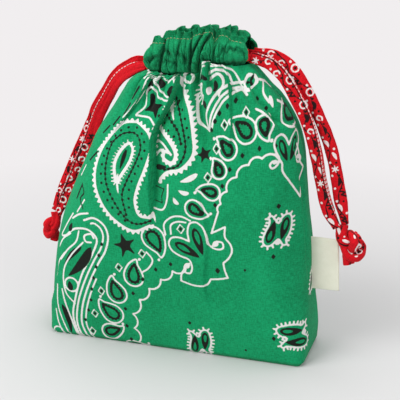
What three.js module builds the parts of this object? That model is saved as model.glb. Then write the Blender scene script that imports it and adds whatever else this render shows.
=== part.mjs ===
// Kinchaku drawstring pouch: a cotton bag with a boxed bottom, gathered at the neck by two drawstrings.
// Millimetres, +Z up. The origin is the middle of the base's underside, the front faces -Y and
// the side label is at +X.
import * as THREE from "three";

// Bag
const baseHalfWidth = 86;
const baseHalfDepth = 24;
const baseCornerRadius = 5;
const baseEdgeInset = 2.5;
const clothWall = 1.5;
const neckHeight = 179;
const neckOffset = 12; // the drawn neck sits right of the base's middle
const neckTilt = 0.15; // and rises towards the right
const neckStraight = 21; // half of the straight stretch of the neck's outline
const neckRadius = 10; // radius of the neck's round ends
const frontCrown = 7;
const backCrown = 5;
const bodyPleatDepth = 1.3;

// Casings, the gathered strips that carry the drawstrings
const seamGap = 0.3;
const seamHalfThickness = 1.3;
const channelHalfDepth = 3.5;
const channelFloor = 1.9;
const channelHeight = 18.3;
const channelEndHeight = 10.2;
const channelCorner = 0.8;
const casingWall = 1.2;
const casingToeHeight = 2.4; // where the cloth has swung out from the seam
const casingWidestShare = 0.45; // of the channel's height, where the casing is widest
const casingShoulderDrop = 1.5;
const casingRounding = 0.3;
const outerPleatDepth = 2.4;
const innerPleatDepth = 0.5;
const stitchRise = 1.5; // from the channel's top to the stitch line
const frillHeight = 5.5;
const frillEndHeight = 2;
const frillHalfThickness = 1;
const frillEdgeDrop = 1.2;
const frillWaveDepth = 2.2;
const frillWaveMiddle = 0.4; // the pleat share at which the frill stands upright
const casingEndAngle = Math.PI / 4; // how far each casing goes round the neck's ends
const droopStart = 19; // where the casing begins to fall towards its ends

// Drawstrings
const tapeWidth = 8;
const tapeThickness = 2.4;
const tapeCorner = 0.7;
const stringSteps = 78;

// Side label
const labelWidth = 17;
const labelHeight = 34;
const labelBottom = 45;
const labelLayer = 0.4;
const labelFoldGap = 0.4;
const labelFoldRounding = 0.2;
const labelGap = 0.3;

// Outlines as [share of the neck's height, share of the way from the neck's size to the base's size]
const leftOutline = [
  [0, 1], [0.17, 1], [0.3, 0.982], [0.43, 0.918], [0.56, 0.787], [0.69, 0.626],
  [0.77, 0.543], [0.83, 0.461], [0.89, 0.364], [0.95, 0.237], [0.984, 0.139], [1, 0],
];
const rightOutline = [
  [0, 1], [0.09, 1.03], [0.25, 0.99], [0.42, 0.96], [0.53, 0.9], [0.64, 0.855], [0.74, 0.81],
  [0.79, 0.75], [0.835, 0.65], [0.875, 0.53], [0.905, 0.42], [0.93, 0.29], [0.965, 0.14], [1, 0],
];
const depthOutline = [
  [0, 1], [0.17, 1.12], [0.35, 1.14], [0.55, 1.08], [0.7, 0.9], [0.82, 0.63], [0.92, 0.28], [1, 0],
];
// Crown of the front and back, depth of the pleats and rounding of the corners, as shares of their full values
const crownOutline = [[0, 0], [0.12, 0.45], [0.35, 0.9], [0.55, 1], [0.75, 0.75], [0.9, 0.3], [1, 0]];
const pleatOutline = [[0, 0], [0.45, 0], [0.62, 0.2], [0.78, 0.75], [0.88, 1.2], [1, 1]];
const cornerOutline = [[0, 0], [0.1, 0.3], [0.3, 0.8], [0.6, 1], [1, 1]];

// Heights of the rows of points up the wall's outside and inside, as shares of the neck's height
const outerRows = [0.067, 0.168, 0.279, 0.402, 0.531, 0.642, 0.737, 0.816, 0.877, 0.922, 0.961, 1];
const innerRows = [0.168, 0.402, 0.642, 0.816, 0.877, 0.922, 0.961, 1];

// Long folds that run down the front from the neck: depth in millimetres, half width, and the route as
// [share of the height, share along the face]
const longFolds = [
  { depth: 3.6, halfWidth: 0.16, route: [[0.48, -0.25], [0.62, -0.38], [0.8, -0.52], [0.9, -0.5], [1, -0.43]] },
  { depth: 2.6, halfWidth: 0.18, route: [[0.6, 0.42], [0.75, 0.4], [0.88, 0.42], [1, 0.6]] },
];

// Valleys between pleats along half of the neck, as shares of a casing's reach from the middle of its side
const frontValleys = [-1.31, -0.79, -0.58, -0.33, -0.1, 0.14, 0.38, 0.62, 1.31];
const backValleys = [-1.31, -0.84, -0.62, -0.38, -0.13, 0.1, 0.33, 0.55, 0.8, 1.31];
const pleatPower = 0.7; // below 1, so a pleat is round on its crest and sharp in its valleys
const pleatMiddle = 0.6; // the pleat share that leaves the bag's wall in place

// What the frill stands above or below its plain height, at shares of the casing's reach
const frontFrillRise = [
  [-1, 0], [-0.62, -0.4], [-0.5, 0.5], [-0.1, 0.3], [0.2, 1.6], [0.45, 0.8], [0.8, 0.4], [1, 0],
];
const backFrillRise = [[-1, 0], [-0.5, 0.8], [-0.2, 0.2], [0.1, 1], [0.4, 0], [0.7, 0.7], [1, 0]];

// Routes of the drawstrings, from one tied end round the neck to the other
const rightRoute = [
  [100.1, -1.9, 87.3], [94.2, -2, 98.6], [89.1, -2, 116.5], [85.2, -2, 135.2], [79.7, -2, 152.2],
  [72.1, -2, 167.5], [64, -2, 179.4], [56, -2.2, 186.1], [50.2, -2.4, 188], [45, -5.6, 190],
  [39.6, -9.8, 189.9], [33, -11.5, 190.7], [25, -11.5, 193.4], [18, -11.3, 194.9], [12, -10, 194.2],
  [6, -8.7, 193.1], [-1, -8.6, 189.6], [-9, -8.6, 184.3], [-13.8, -7.2, 181.9], [-17, -3.3, 181.5],
  [-17, 3.3, 181.5], [-13.8, 7.2, 181.9], [-9, 8.6, 184.3], [-1, 8.6, 189.6], [6, 8.7, 193.1],
  [12, 10, 194.2], [18, 11.3, 194.9], [25, 11.5, 193.4], [33, 11.5, 190.7], [39.6, 9.8, 189.9],
  [45, 5.6, 190.5], [50.8, 2.4, 190.8], [58, 2.2, 190], [66.5, 2, 185], [77.3, 2, 170.5],
  [85.9, 2, 155], [93.2, 2, 137.6], [98.1, 2, 118.7], [101.8, 2, 100.8], [104.3, 1.9, 88.7],
];
const leftRoute = [
  [-90.7, 7.3, 72.4], [-82.4, 9, 91.5], [-73.4, 9.5, 111.6], [-65.6, 9.5, 129.4], [-58.8, 8.5, 144.8],
  [-51.5, 7, 157.1], [-42.7, 3.5, 169.4], [-34.1, -0.2, 175.6], [-27.9, -2.4, 178.5], [-21, -5.6, 180.7],
  [-15.6, -9.8, 181.7], [-9, -11.5, 182.7], [-1, -11.5, 183.9], [6, -11.3, 184.9], [12, -10, 185.8],
  [18, -8.7, 186.7], [25, -8.5, 187.8], [33, -8.6, 189], [37.8, -7.2, 189.7], [41, -3.3, 190.1],
  [41, 3.3, 190.1], [37.8, 7.2, 189.7], [33, 8.6, 189], [25, 8.5, 187.8], [18, 8.7, 186.7],
  [12, 10, 185.8], [6, 11.3, 184.9], [-1, 11.5, 183.9], [-9, 11.5, 182.7], [-15.6, 9.8, 181.7],
  [-21, 5.6, 180.7], [-29.1, 2.4, 181.1], [-35.5, 4.2, 178], [-44.9, 7.5, 171.4], [-54.1, 11, 158.9],
  [-62, 12.5, 146.4], [-69.2, 13.5, 131], [-77.4, 13.5, 113.4], [-86.8, 13, 93.5], [-94.1, 11.1, 73.6],
];

// Knots: where the ends come in, the middle, the size of one unit of the curve and the bundle's radius
const rightKnot = {
  start: [102.9, 0, 86.7], middle: [108.7, 1.2, 74.6], unit: 2.8, bundle: 2.4, outward: 1, lean: 0.3,
};
const leftKnot = {
  start: [-93.1, 9, 71.5], middle: [-95.8, 8.2, 60.8], unit: 2.2, bundle: 1.9, outward: -1, lean: 0.25,
};
const knotDepthStretch = 1.25;
const knotSteps = 40;
// The way into the knot, the turns of its loop in degrees and its tail, in the knot's units
const knotEntry = [-1.35, 2.7, -0.75];
const knotFirstTurn = 495;
const knotLastTurn = 225;
const knotTurnStep = 15;
const knotTail = [[-1.5, -2.3, 0.8], [-1.6, -3.6, 0.5], [-1.7, -4.9, 0.3]];

// Number of steps round the bag and along a casing
const faceSteps = 34;
const cornerSteps = 8;
const sideSteps = 4;
const casingSteps = 56;
const channelSteps = 14;

// Half width and depth of the neck, to its outside, and how far a casing reaches along it
const neckHalfWidth = neckStraight + neckRadius + clothWall / 2;
const neckHalfDepth = neckRadius + clothWall / 2;
const casingReach = neckStraight + neckRadius * casingEndAngle;

// Smooth value of a list of [place, value] at a place
function valueAt(list, place) {
  let i = 0;
  while (i < list.length - 2 && place > list[i + 1][0]) i += 1;
  const [x0, y0] = list[i];
  const [x1, y1] = list[i + 1];
  const slope = (k) => {
    const before = list[Math.max(k - 1, 0)];
    const after = list[Math.min(k + 1, list.length - 1)];
    return (after[1] - before[1]) / (after[0] - before[0]);
  };
  const span = x1 - x0;
  const t = THREE.MathUtils.clamp((place - x0) / span, 0, 1);
  const rise = t * t * (3 - 2 * t);
  return (
    y0 * (1 - rise) + y1 * rise
    + slope(i) * span * t * (1 - t) * (1 - t)
    - slope(i + 1) * span * t * t * (1 - t)
  );
}

// 0 in the valley between two pleats, 1 on a pleat's crest; way is the distance along the neck
function pleat(valleys, way) {
  const place = way / casingReach;
  for (let i = 0; i < valleys.length - 1; i += 1) {
    const share = (place - valleys[i]) / (valleys[i + 1] - valleys[i]);
    if (share >= 0 && share < 1) return Math.sin(Math.PI * share) ** pleatPower;
  }
  return 0;
}

// Depth of the long folds at a place on the front
function foldDepth(share, along) {
  let total = 0;
  for (const { depth, halfWidth, route } of longFolds) {
    const first = route[0][0];
    if (share > first) {
      const off = (along - valueAt(route, share)) / halfWidth;
      const strength = Math.sin(Math.PI * ((share - first) / (1 - first)) ** 0.8);
      total += depth * strength * Math.exp(-off * off);
    }
  }
  return total;
}

// Height of a row of the bag, which tilts from two thirds of its height up to the neck's seam
function tilted(height, x) {
  const share = THREE.MathUtils.smoothstep(height, neckHeight * 2 / 3, neckHeight);
  return height + neckTilt * (x - neckOffset) * share;
}

function reachLeft(height) {
  const neck = neckOffset - neckHalfWidth;
  return neck + (-baseHalfWidth - neck) * valueAt(leftOutline, height / neckHeight);
}

function reachRight(height) {
  const neck = neckOffset + neckHalfWidth;
  return neck + (baseHalfWidth - neck) * valueAt(rightOutline, height / neckHeight);
}

// The places round the bag. Each has its face (-1 front, 1 back, 0 a side), its side (-1 left, 1 right,
// 0 a face), how far along a face or side it is from -1 to 1, and how far round a corner it is
function placesRound() {
  const places = [];
  const addFace = (face, from, to) => {
    for (let i = 0; i < faceSteps; i += 1) {
      places.push({ face, side: 0, along: from + (to - from) * i / faceSteps, angle: 0 });
    }
  };
  const addCorner = (face, side, from, to) => {
    for (let i = 0; i < cornerSteps; i += 1) {
      places.push({ face, side, along: 0, angle: (from + (to - from) * i / cornerSteps) * Math.PI / 2 });
    }
  };
  const addSide = (side, from, to) => {
    for (let i = 0; i < sideSteps; i += 1) {
      places.push({ face: 0, side, along: from + (to - from) * i / sideSteps, angle: 0 });
    }
  };
  addFace(-1, -1, 1);
  addCorner(-1, 1, 0, 1);
  addSide(1, -1, 1);
  addCorner(1, 1, 1, 0);
  addFace(1, 1, -1);
  addCorner(1, -1, 0, 1);
  addSide(-1, 1, -1);
  addCorner(-1, -1, 1, 0);
  return places;
}

// A point of the bag's wall, inset from its outside
function bagPoint(place, height, inset) {
  const share = height / neckHeight;
  const left = reachLeft(height);
  const right = reachRight(height);
  const middle = (left + right) / 2;
  const halfWidth = (right - left) / 2;
  const halfDepth = neckHalfDepth + (baseHalfDepth - neckHalfDepth) * valueAt(depthOutline, share);
  const roundness = Math.min(valueAt(cornerOutline, share), 1);
  const radius = baseCornerRadius + (halfDepth - baseCornerRadius) * roundness;
  const { face, side, along, angle } = place;
  let x = middle;
  let y = 0;
  let normal = [0, 0];
  let way = 0;
  if (face === 0) {
    normal = [side, 0];
    x += side * halfWidth;
    y = along * (halfDepth - radius);
    way = neckStraight + neckRadius * Math.PI / 2;
  } else if (side === 0) {
    normal = [0, face];
    x += along * (halfWidth - radius);
    y = face * halfDepth;
    way = along * neckStraight;
  } else {
    normal = [side * Math.sin(angle), face * Math.cos(angle)];
    x += side * (halfWidth - radius) + normal[0] * radius;
    y = face * (halfDepth - radius) + normal[1] * radius;
    way = side * (neckStraight + neckRadius * angle);
  }
  const crown = (face < 0 ? frontCrown : backCrown) * valueAt(crownOutline, share);
  const bulge = crown * (1 - ((x - middle) / halfWidth) ** 2) * Math.abs(normal[1]);
  const pleated = pleat(face > 0 ? backValleys : frontValleys, way) - pleatMiddle;
  const folded = face < 0 && side === 0 ? foldDepth(share, along) : 0;
  const fold = bodyPleatDepth * valueAt(pleatOutline, share) * pleated - folded;
  x += normal[0] * (fold - inset);
  y += normal[1] * (bulge + fold - inset);
  return [x, y, tilted(height, x)];
}

// A closed geometry from points and triangles
function solid(points, triangles) {
  const geometry = new THREE.BufferGeometry();
  geometry.setAttribute("position", new THREE.Float32BufferAttribute(points.flat(), 3));
  geometry.setIndex(triangles.flat());
  geometry.computeVertexNormals();
  return geometry;
}

// Triangles between two rings of equal count, facing out where the second ring is ahead of the first
function band(first, second, count) {
  const triangles = [];
  for (let i = 0; i < count; i += 1) {
    const next = (i + 1) % count;
    triangles.push([first + i, first + next, second + next], [first + i, second + next, second + i]);
  }
  return triangles;
}

// The bag: one folded and side-seamed cloth, hollow, with a boxed flat bottom and an open neck
function pouchBody() {
  const places = placesRound();
  const count = places.length;
  const points = [];
  const triangles = [];
  const ring = (height, inset, z) => {
    const start = points.length;
    for (const place of places) {
      const point = bagPoint(place, height, inset);
      if (z !== undefined) point[2] = z;
      points.push(point);
    }
    return start;
  };
  const outer = [ring(0, baseEdgeInset, 0), ring(baseEdgeInset, 0)];
  for (const share of outerRows) outer.push(ring(share * neckHeight, 0));
  const inner = [ring(baseEdgeInset, baseEdgeInset + clothWall, clothWall)];
  for (const share of innerRows) inner.push(ring(share * neckHeight, clothWall));
  const top = outer.length - 1;
  const innerTop = inner.length - 1;
  for (let i = 0; i < top; i += 1) triangles.push(...band(outer[i], outer[i + 1], count));
  for (let i = 0; i < innerTop; i += 1) triangles.push(...band(inner[i + 1], inner[i], count));
  triangles.push(...band(outer[top], inner[innerTop], count));
  const underside = points.push([0, 0, 0]) - 1;
  const floor = points.push([0, 0, clothWall]) - 1;
  for (let i = 0; i < count; i += 1) {
    const next = (i + 1) % count;
    triangles.push([underside, outer[0] + next, outer[0] + i], [floor, inner[0] + i, inner[0] + next]);
  }
  return solid(points, triangles);
}

// A point beside the neck's path: way along it from the middle of a face, out from it, up from the seam
function neckPoint(face, way, out, up) {
  const round = Math.max(Math.abs(way) - neckStraight, 0) / neckRadius;
  const side = Math.sign(way);
  const straight = Math.min(Math.abs(way), neckStraight);
  const x = neckOffset + side * (straight + (neckRadius + out) * Math.sin(round));
  const y = face * (neckRadius + out) * Math.cos(round);
  return [x, y, tilted(neckHeight, x) + seamGap + up];
}

// How far a casing has fallen towards its end, from 0 to 1
function casingFall(way) {
  return THREE.MathUtils.smoothstep(Math.abs(way), droopStart, casingReach);
}

function channelTop(way) {
  return channelFloor + channelHeight + (channelEndHeight - channelHeight) * casingFall(way);
}

// A casing's outside as [out, up] points at one place: the seam, the round channel, the stitches, the frill
function casingOutline(valleys, frillRise, way) {
  const fall = casingFall(way);
  const crest = pleat(valleys, way);
  const outside = channelHalfDepth + casingWall + outerPleatDepth * crest;
  const inside = -(channelHalfDepth + casingWall + innerPleatDepth * crest);
  const top = channelTop(way);
  const widest = top * casingWidestShare;
  const shoulder = top - casingShoulderDrop;
  const stitch = top + stitchRise;
  const frill = stitch + frillHeight + (frillEndHeight - frillHeight) * fall + valueAt(frillRise, way / casingReach);
  const frillEdge = frill - frillEdgeDrop;
  const wave = frillWaveDepth * (crest - frillWaveMiddle) * (1 - fall);
  const lean = wave * frillWaveMiddle;
  const swell = frillHalfThickness + casingRounding;
  return [
    [-seamHalfThickness, 0], [seamHalfThickness, 0],
    [outside - casingRounding, casingToeHeight], [outside, widest], [outside - casingRounding, shoulder],
    [lean + seamHalfThickness, stitch], [wave + swell, frillEdge],
    [wave + frillHalfThickness / 2, frill], [wave - frillHalfThickness / 2, frill],
    [wave - swell, frillEdge], [lean - seamHalfThickness, stitch],
    [inside + casingRounding, shoulder], [inside, widest], [inside + casingRounding, casingToeHeight],
  ];
}

function channelOutline(way) {
  const half = channelHalfDepth;
  const low = channelFloor + channelCorner;
  const top = channelTop(way);
  return [
    [channelCorner - half, channelFloor], [half - channelCorner, channelFloor], [half, low],
    [half, top - channelCorner], [half - channelCorner, top], [channelCorner - half, top],
    [-half, top - channelCorner], [-half, low],
  ];
}

// A casing: a doubled strip with a hollow channel, a stitch line above it and a frill on top
function casing(face) {
  const valleys = face < 0 ? frontValleys : backValleys;
  const frillRise = face < 0 ? frontFrillRise : backFrillRise;
  const points = [];
  const triangles = [];
  const rings = (steps, outlineAt) => Array.from({ length: steps + 1 }, (_, i) => {
    const way = casingReach * (2 * i / steps - 1);
    const outline = outlineAt(way);
    const start = points.length;
    for (const [out, up] of outline) points.push(neckPoint(face, way, out, up));
    return { start, outline };
  });
  const skin = rings(casingSteps, (way) => casingOutline(valleys, frillRise, way));
  const channel = rings(channelSteps, channelOutline);
  for (let i = 0; i < casingSteps; i += 1) {
    triangles.push(...band(skin[i].start, skin[i + 1].start, skin[i].outline.length));
  }
  for (let i = 0; i < channelSteps; i += 1) {
    triangles.push(...band(channel[i + 1].start, channel[i].start, channel[i].outline.length));
  }
  const closeEnd = (outer, hole, flip) => {
    const flat = (outline) => outline.map(([out, up]) => new THREE.Vector2(out, up));
    const index = [
      ...outer.outline.map((_, i) => outer.start + i),
      ...hole.outline.map((_, i) => hole.start + i),
    ];
    const faces = THREE.ShapeUtils.triangulateShape(flat(outer.outline), [flat(hole.outline)]);
    for (const [a, b, c] of faces) {
      triangles.push(flip ? [index[a], index[c], index[b]] : [index[a], index[b], index[c]]);
    }
  };
  closeEnd(skin[0], channel[0], true);
  closeEnd(skin[casingSteps], channel[channelSteps], false);
  // The walk along the front runs the other way round, so its faces are turned
  const turned = face < 0 ? triangles.map(([a, b, c]) => [a, c, b]) : triangles;
  return solid(points, turned);
}

// A tape's flat section: x is its thickness and y its width
function tapeSection() {
  const halfThickness = tapeThickness / 2;
  const halfWidth = tapeWidth / 2;
  const shape = new THREE.Shape();
  shape.moveTo(-halfThickness + tapeCorner, -halfWidth);
  shape.lineTo(halfThickness - tapeCorner, -halfWidth);
  shape.lineTo(halfThickness, -halfWidth + tapeCorner);
  shape.lineTo(halfThickness, halfWidth - tapeCorner);
  shape.lineTo(halfThickness - tapeCorner, halfWidth);
  shape.lineTo(-halfThickness + tapeCorner, halfWidth);
  shape.lineTo(-halfThickness, halfWidth - tapeCorner);
  shape.lineTo(-halfThickness, -halfWidth + tapeCorner);
  shape.closePath();
  return shape;
}

// A path whose frames keep a tape's width as upright as the path allows
class TapePath extends THREE.CatmullRomCurve3 {
  computeFrenetFrames(segments) {
    const up = new THREE.Vector3(0, 0, 1);
    const tangents = Array.from({ length: segments + 1 }, (_, i) => this.getTangentAt(i / segments));
    const normals = tangents.map((tangent) => up.clone().cross(tangent).normalize());
    const binormals = tangents.map((tangent, i) => tangent.clone().cross(normals[i]));
    return { tangents, normals, binormals };
  }
}

// A drawstring: one length of folded tape from knot to knot round the neck
function drawstring(route) {
  const points = route.map((point) => new THREE.Vector3(...point));
  return new THREE.ExtrudeGeometry(tapeSection(), {
    steps: stringSteps,
    extrudePath: new TapePath(points, false, "centripetal"),
    bevelEnabled: false,
  });
}

// An overhand knot in both ends of a drawstring, with its short tail
function knot({ start, middle, unit, bundle, outward, lean }) {
  const place = ([u, v, w]) => [
    middle[0] + outward * unit * (u * Math.cos(lean) - v * Math.sin(lean)),
    middle[1] + w * unit * knotDepthStretch,
    middle[2] + unit * (u * Math.sin(lean) + v * Math.cos(lean)),
  ];
  const route = [start, place(knotEntry)];
  for (let degrees = knotFirstTurn; degrees >= knotLastTurn; degrees -= knotTurnStep) {
    const t = THREE.MathUtils.degToRad(degrees);
    const u = Math.cos(t) - 2 * Math.cos(2 * t);
    const v = -(Math.sin(t) + 2 * Math.sin(2 * t));
    route.push(place([u, v, -Math.sin(3 * t)]));
  }
  route.push(...knotTail.map(place));
  const section = new THREE.Shape();
  section.absarc(0, 0, bundle, 0, 2 * Math.PI, false);
  const points = route.map((point) => new THREE.Vector3(...point));
  return new THREE.ExtrudeGeometry(section, {
    steps: knotSteps,
    curveSegments: 4,
    extrudePath: new THREE.CatmullRomCurve3(points, false, "centripetal"),
    bevelEnabled: false,
  });
}

// The side label: a folded tag, sewn into the right seam, its two layers joined at the outer fold
function sideLabel() {
  const half = labelLayer + labelFoldGap / 2;
  const hollow = labelFoldGap / 2;
  const hollowEnd = labelWidth - labelLayer;
  const outline = [
    [0, -half], [labelWidth - half, -half], [labelWidth - labelFoldRounding, -half / 2], [labelWidth, 0],
    [labelWidth - labelFoldRounding, half / 2], [labelWidth - half, half], [0, half], [0, hollow],
    [hollowEnd - labelFoldRounding, hollow], [hollowEnd, 0],
    [hollowEnd - labelFoldRounding, -hollow], [0, -hollow],
  ];
  const shape = new THREE.Shape(outline.map(([x, y]) => new THREE.Vector2(x, y)));
  const geometry = new THREE.ExtrudeGeometry(shape, { depth: labelHeight, steps: 4, bevelEnabled: false });
  const position = geometry.attributes.position;
  for (let i = 0; i < position.count; i += 1) {
    const z = position.getZ(i) + labelBottom;
    position.setXYZ(i, position.getX(i) + reachRight(z) + labelGap, position.getY(i), z);
  }
  geometry.computeVertexNormals();
  return geometry;
}

function cotton(color, roughness) {
  return new THREE.MeshStandardMaterial({ color, roughness, metalness: 0 });
}

const printedCotton = cotton(0x21945f, 0.9);
const plainCotton = cotton(0x1b8a56, 0.9);
const redCotton = cotton(0xd31c2a, 0.88);
const wovenTag = cotton(0xe6e4cf, 0.92);

const pouch = new THREE.Group();

function add(name, geometry, material) {
  const mesh = new THREE.Mesh(geometry, material);
  mesh.name = name;
  pouch.add(mesh);
}

add("pouch_body", pouchBody(), printedCotton);
add("front_casing", casing(-1), plainCotton);
add("back_casing", casing(1), plainCotton);
add("left_drawstring", drawstring(leftRoute), redCotton);
add("right_drawstring", drawstring(rightRoute), redCotton);
add("left_knot", knot(leftKnot), redCotton);
add("right_knot", knot(rightKnot), redCotton);
add("side_label", sideLabel(), wovenTag);

export default pouch;
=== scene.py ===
import math

import bmesh
import bpy
import numpy as np
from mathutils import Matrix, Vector, noise


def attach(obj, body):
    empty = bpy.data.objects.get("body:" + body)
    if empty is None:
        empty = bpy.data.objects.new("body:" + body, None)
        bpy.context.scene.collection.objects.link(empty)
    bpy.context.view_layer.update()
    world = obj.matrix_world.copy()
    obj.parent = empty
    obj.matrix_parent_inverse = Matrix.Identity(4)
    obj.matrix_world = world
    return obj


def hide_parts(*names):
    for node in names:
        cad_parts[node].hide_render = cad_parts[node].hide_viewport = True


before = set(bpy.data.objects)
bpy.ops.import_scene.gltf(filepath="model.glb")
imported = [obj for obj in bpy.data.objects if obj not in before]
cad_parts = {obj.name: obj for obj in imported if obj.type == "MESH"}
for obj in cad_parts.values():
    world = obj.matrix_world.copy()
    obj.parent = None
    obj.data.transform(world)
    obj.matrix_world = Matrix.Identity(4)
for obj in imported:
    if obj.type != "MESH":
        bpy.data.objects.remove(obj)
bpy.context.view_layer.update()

# Lengths are in millimetres until a mesh, a light or the camera is made, which takes metres.
MM = 0.001

# Camera, at the photograph's angle
TARGET = np.array([11.8, 0.0, 95.3])
AZIMUTH, ELEVATION, DISTANCE = 17.7, 19.0, 700.0
SENSOR, LENS = 36.0, 99.7

# Bag, as in the part's source
BASE_HALF_WIDTH, BASE_HALF_DEPTH = 86.0, 24.0
BASE_CORNER_RADIUS, BASE_EDGE_INSET = 5.0, 2.5
NECK_HEIGHT, NECK_OFFSET, NECK_TILT = 179.0, 12.0, 0.15
NECK_STRAIGHT, NECK_RADIUS = 21.0, 10.0
NECK_HALF_WIDTH, NECK_HALF_DEPTH = 31.75, 10.75
FRONT_CROWN, BACK_CROWN, BODY_PLEAT_DEPTH = 7.0, 5.0, 1.3
CASING_REACH = NECK_STRAIGHT + NECK_RADIUS * math.pi / 4
LEFT_OUTLINE = [
    (0, 1), (0.17, 1), (0.3, 0.982), (0.43, 0.918), (0.56, 0.787), (0.69, 0.626),
    (0.77, 0.543), (0.83, 0.461), (0.89, 0.364), (0.95, 0.237), (0.984, 0.139), (1, 0),
]
RIGHT_OUTLINE = [
    (0, 1), (0.09, 1.03), (0.25, 0.99), (0.42, 0.96), (0.53, 0.9), (0.64, 0.855), (0.74, 0.81),
    (0.79, 0.75), (0.835, 0.65), (0.875, 0.53), (0.905, 0.42), (0.93, 0.29), (0.965, 0.14), (1, 0),
]
DEPTH_OUTLINE = [
    (0, 1), (0.17, 1.12), (0.35, 1.14), (0.55, 1.08), (0.7, 0.9), (0.82, 0.63), (0.92, 0.28), (1, 0),
]
CROWN_OUTLINE = [(0, 0), (0.12, 0.45), (0.35, 0.9), (0.55, 1), (0.75, 0.75), (0.9, 0.3), (1, 0)]
PLEAT_OUTLINE = [(0, 0), (0.45, 0), (0.62, 0.2), (0.78, 0.75), (0.88, 1.2), (1, 1)]
CORNER_OUTLINE = [(0, 0), (0.1, 0.3), (0.3, 0.8), (0.6, 1), (1, 1)]
FRONT_VALLEYS = [-1.31, -0.79, -0.58, -0.33, -0.1, 0.14, 0.38, 0.62, 1.31]
BACK_VALLEYS = [-1.31, -0.84, -0.62, -0.38, -0.13, 0.1, 0.33, 0.55, 0.8, 1.31]

# Routes of the drawstrings, from one tied end round the neck to the other
RIGHT_ROUTE = [
    (100.1, -1.9, 87.3), (94.2, -2, 98.6), (89.1, -2, 116.5), (85.2, -2, 135.2), (79.7, -2, 152.2),
    (72.1, -2, 167.5), (64, -2, 179.4), (56, -2.2, 186.1), (50.2, -2.4, 188), (45, -5.6, 190),
    (39.6, -9.8, 189.9), (33, -11.5, 190.7), (25, -11.5, 193.4), (18, -11.3, 194.9), (12, -10, 194.2),
    (6, -8.7, 193.1), (-1, -8.6, 189.6), (-9, -8.6, 184.3), (-13.8, -7.2, 181.9), (-17, -3.3, 181.5),
    (-17, 3.3, 181.5), (-13.8, 7.2, 181.9), (-9, 8.6, 184.3), (-1, 8.6, 189.6), (6, 8.7, 193.1),
    (12, 10, 194.2), (18, 11.3, 194.9), (25, 11.5, 193.4), (33, 11.5, 190.7), (39.6, 9.8, 189.9),
    (45, 5.6, 190.5), (50.8, 2.4, 190.8), (58, 2.2, 190), (66.5, 2, 185), (77.3, 2, 170.5),
    (85.9, 2, 155), (93.2, 2, 137.6), (98.1, 2, 118.7), (101.8, 2, 100.8), (104.3, 1.9, 88.7),
]
LEFT_ROUTE = [
    (-90.7, 7.3, 72.4), (-82.4, 9, 91.5), (-73.4, 9.5, 111.6), (-65.6, 9.5, 129.4), (-58.8, 8.5, 144.8),
    (-51.5, 7, 157.1), (-42.7, 3.5, 169.4), (-34.1, -0.2, 175.6), (-27.9, -2.4, 178.5), (-21, -5.6, 180.7),
    (-15.6, -9.8, 181.7), (-9, -11.5, 182.7), (-1, -11.5, 183.9), (6, -11.3, 184.9), (12, -10, 185.8),
    (18, -8.7, 186.7), (25, -8.5, 187.8), (33, -8.6, 189), (37.8, -7.2, 189.7), (41, -3.3, 190.1),
    (41, 3.3, 190.1), (37.8, 7.2, 189.7), (33, 8.6, 189), (25, 8.5, 187.8), (18, 8.7, 186.7),
    (12, 10, 185.8), (6, 11.3, 184.9), (-1, 11.5, 183.9), (-9, 11.5, 182.7), (-15.6, 9.8, 181.7),
    (-21, 5.6, 180.7), (-29.1, 2.4, 181.1), (-35.5, 4.2, 178), (-44.9, 7.5, 171.4), (-54.1, 11, 158.9),
    (-62, 12.5, 146.4), (-69.2, 13.5, 131), (-77.4, 13.5, 113.4), (-86.8, 13, 93.5), (-94.1, 11.1, 73.6),
]
CASING_TURN_FIRST, CASING_TURN_LAST = 9, 30  # where a route enters its casings and leaves them


def value_at(pairs, at):
    """The smooth curve through a list of (place, value), as in the part's source."""
    xs, ys = np.array(pairs, float).T
    at = np.asarray(at, float)
    i = np.searchsorted(xs[1:-1], at, side="left")
    before = np.maximum(np.arange(len(xs)) - 1, 0)
    after = np.minimum(np.arange(len(xs)) + 1, len(xs) - 1)
    slope = (ys[after] - ys[before]) / (xs[after] - xs[before])
    span = xs[i + 1] - xs[i]
    t = np.clip((at - xs[i]) / span, 0, 1)
    rise = t * t * (3 - 2 * t)
    return (
        ys[i] * (1 - rise) + ys[i + 1] * rise
        + slope[i] * span * t * (1 - t) ** 2
        - slope[i + 1] * span * t * t * (1 - t)
    )


def smoothstep(at, low, high):
    t = np.clip((np.asarray(at, float) - low) / (high - low), 0, 1)
    return t * t * (3 - 2 * t)


def hump(at, middle, width):
    return np.exp(-(((at - middle) / width) ** 2))


def between(u, v, low, high, t):
    return (high - t) / (high - low) * u + (t - low) / (high - low) * v


def spline(points, spacing):
    """Points about spacing apart on a smooth curve through the given ones."""
    p = np.array(points, float)
    ghost = np.vstack([2 * p[0] - p[1], p, 2 * p[-1] - p[-2]])
    out = []
    for a, b, c, d in zip(ghost, ghost[1:], ghost[2:], ghost[3:]):
        steps = [max(np.linalg.norm(v - u), 1e-6) ** 0.5 for u, v in ((a, b), (b, c), (c, d))]
        k = np.cumsum([0] + steps)
        count = max(2, int(np.linalg.norm(c - b) / spacing) + 1)
        for t in np.linspace(k[1], k[2], count, endpoint=False):
            ab = between(a, b, k[0], k[1], t)
            bc = between(b, c, k[1], k[2], t)
            cd = between(c, d, k[2], k[3], t)
            out.append(between(between(ab, bc, k[0], k[2], t), between(bc, cd, k[1], k[3], t), k[1], k[2], t))
    out.append(p[-1])
    return np.array(out)


def evenly(line, count):
    along = np.concatenate([[0], np.cumsum(np.linalg.norm(np.diff(line, axis=0), axis=1))])
    at = np.linspace(0, along[-1], count)
    return np.stack([np.interp(at, along, line[:, k]) for k in range(line.shape[1])], axis=1)


def length_of(line):
    return float(np.linalg.norm(np.diff(line, axis=0), axis=1).sum())


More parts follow.
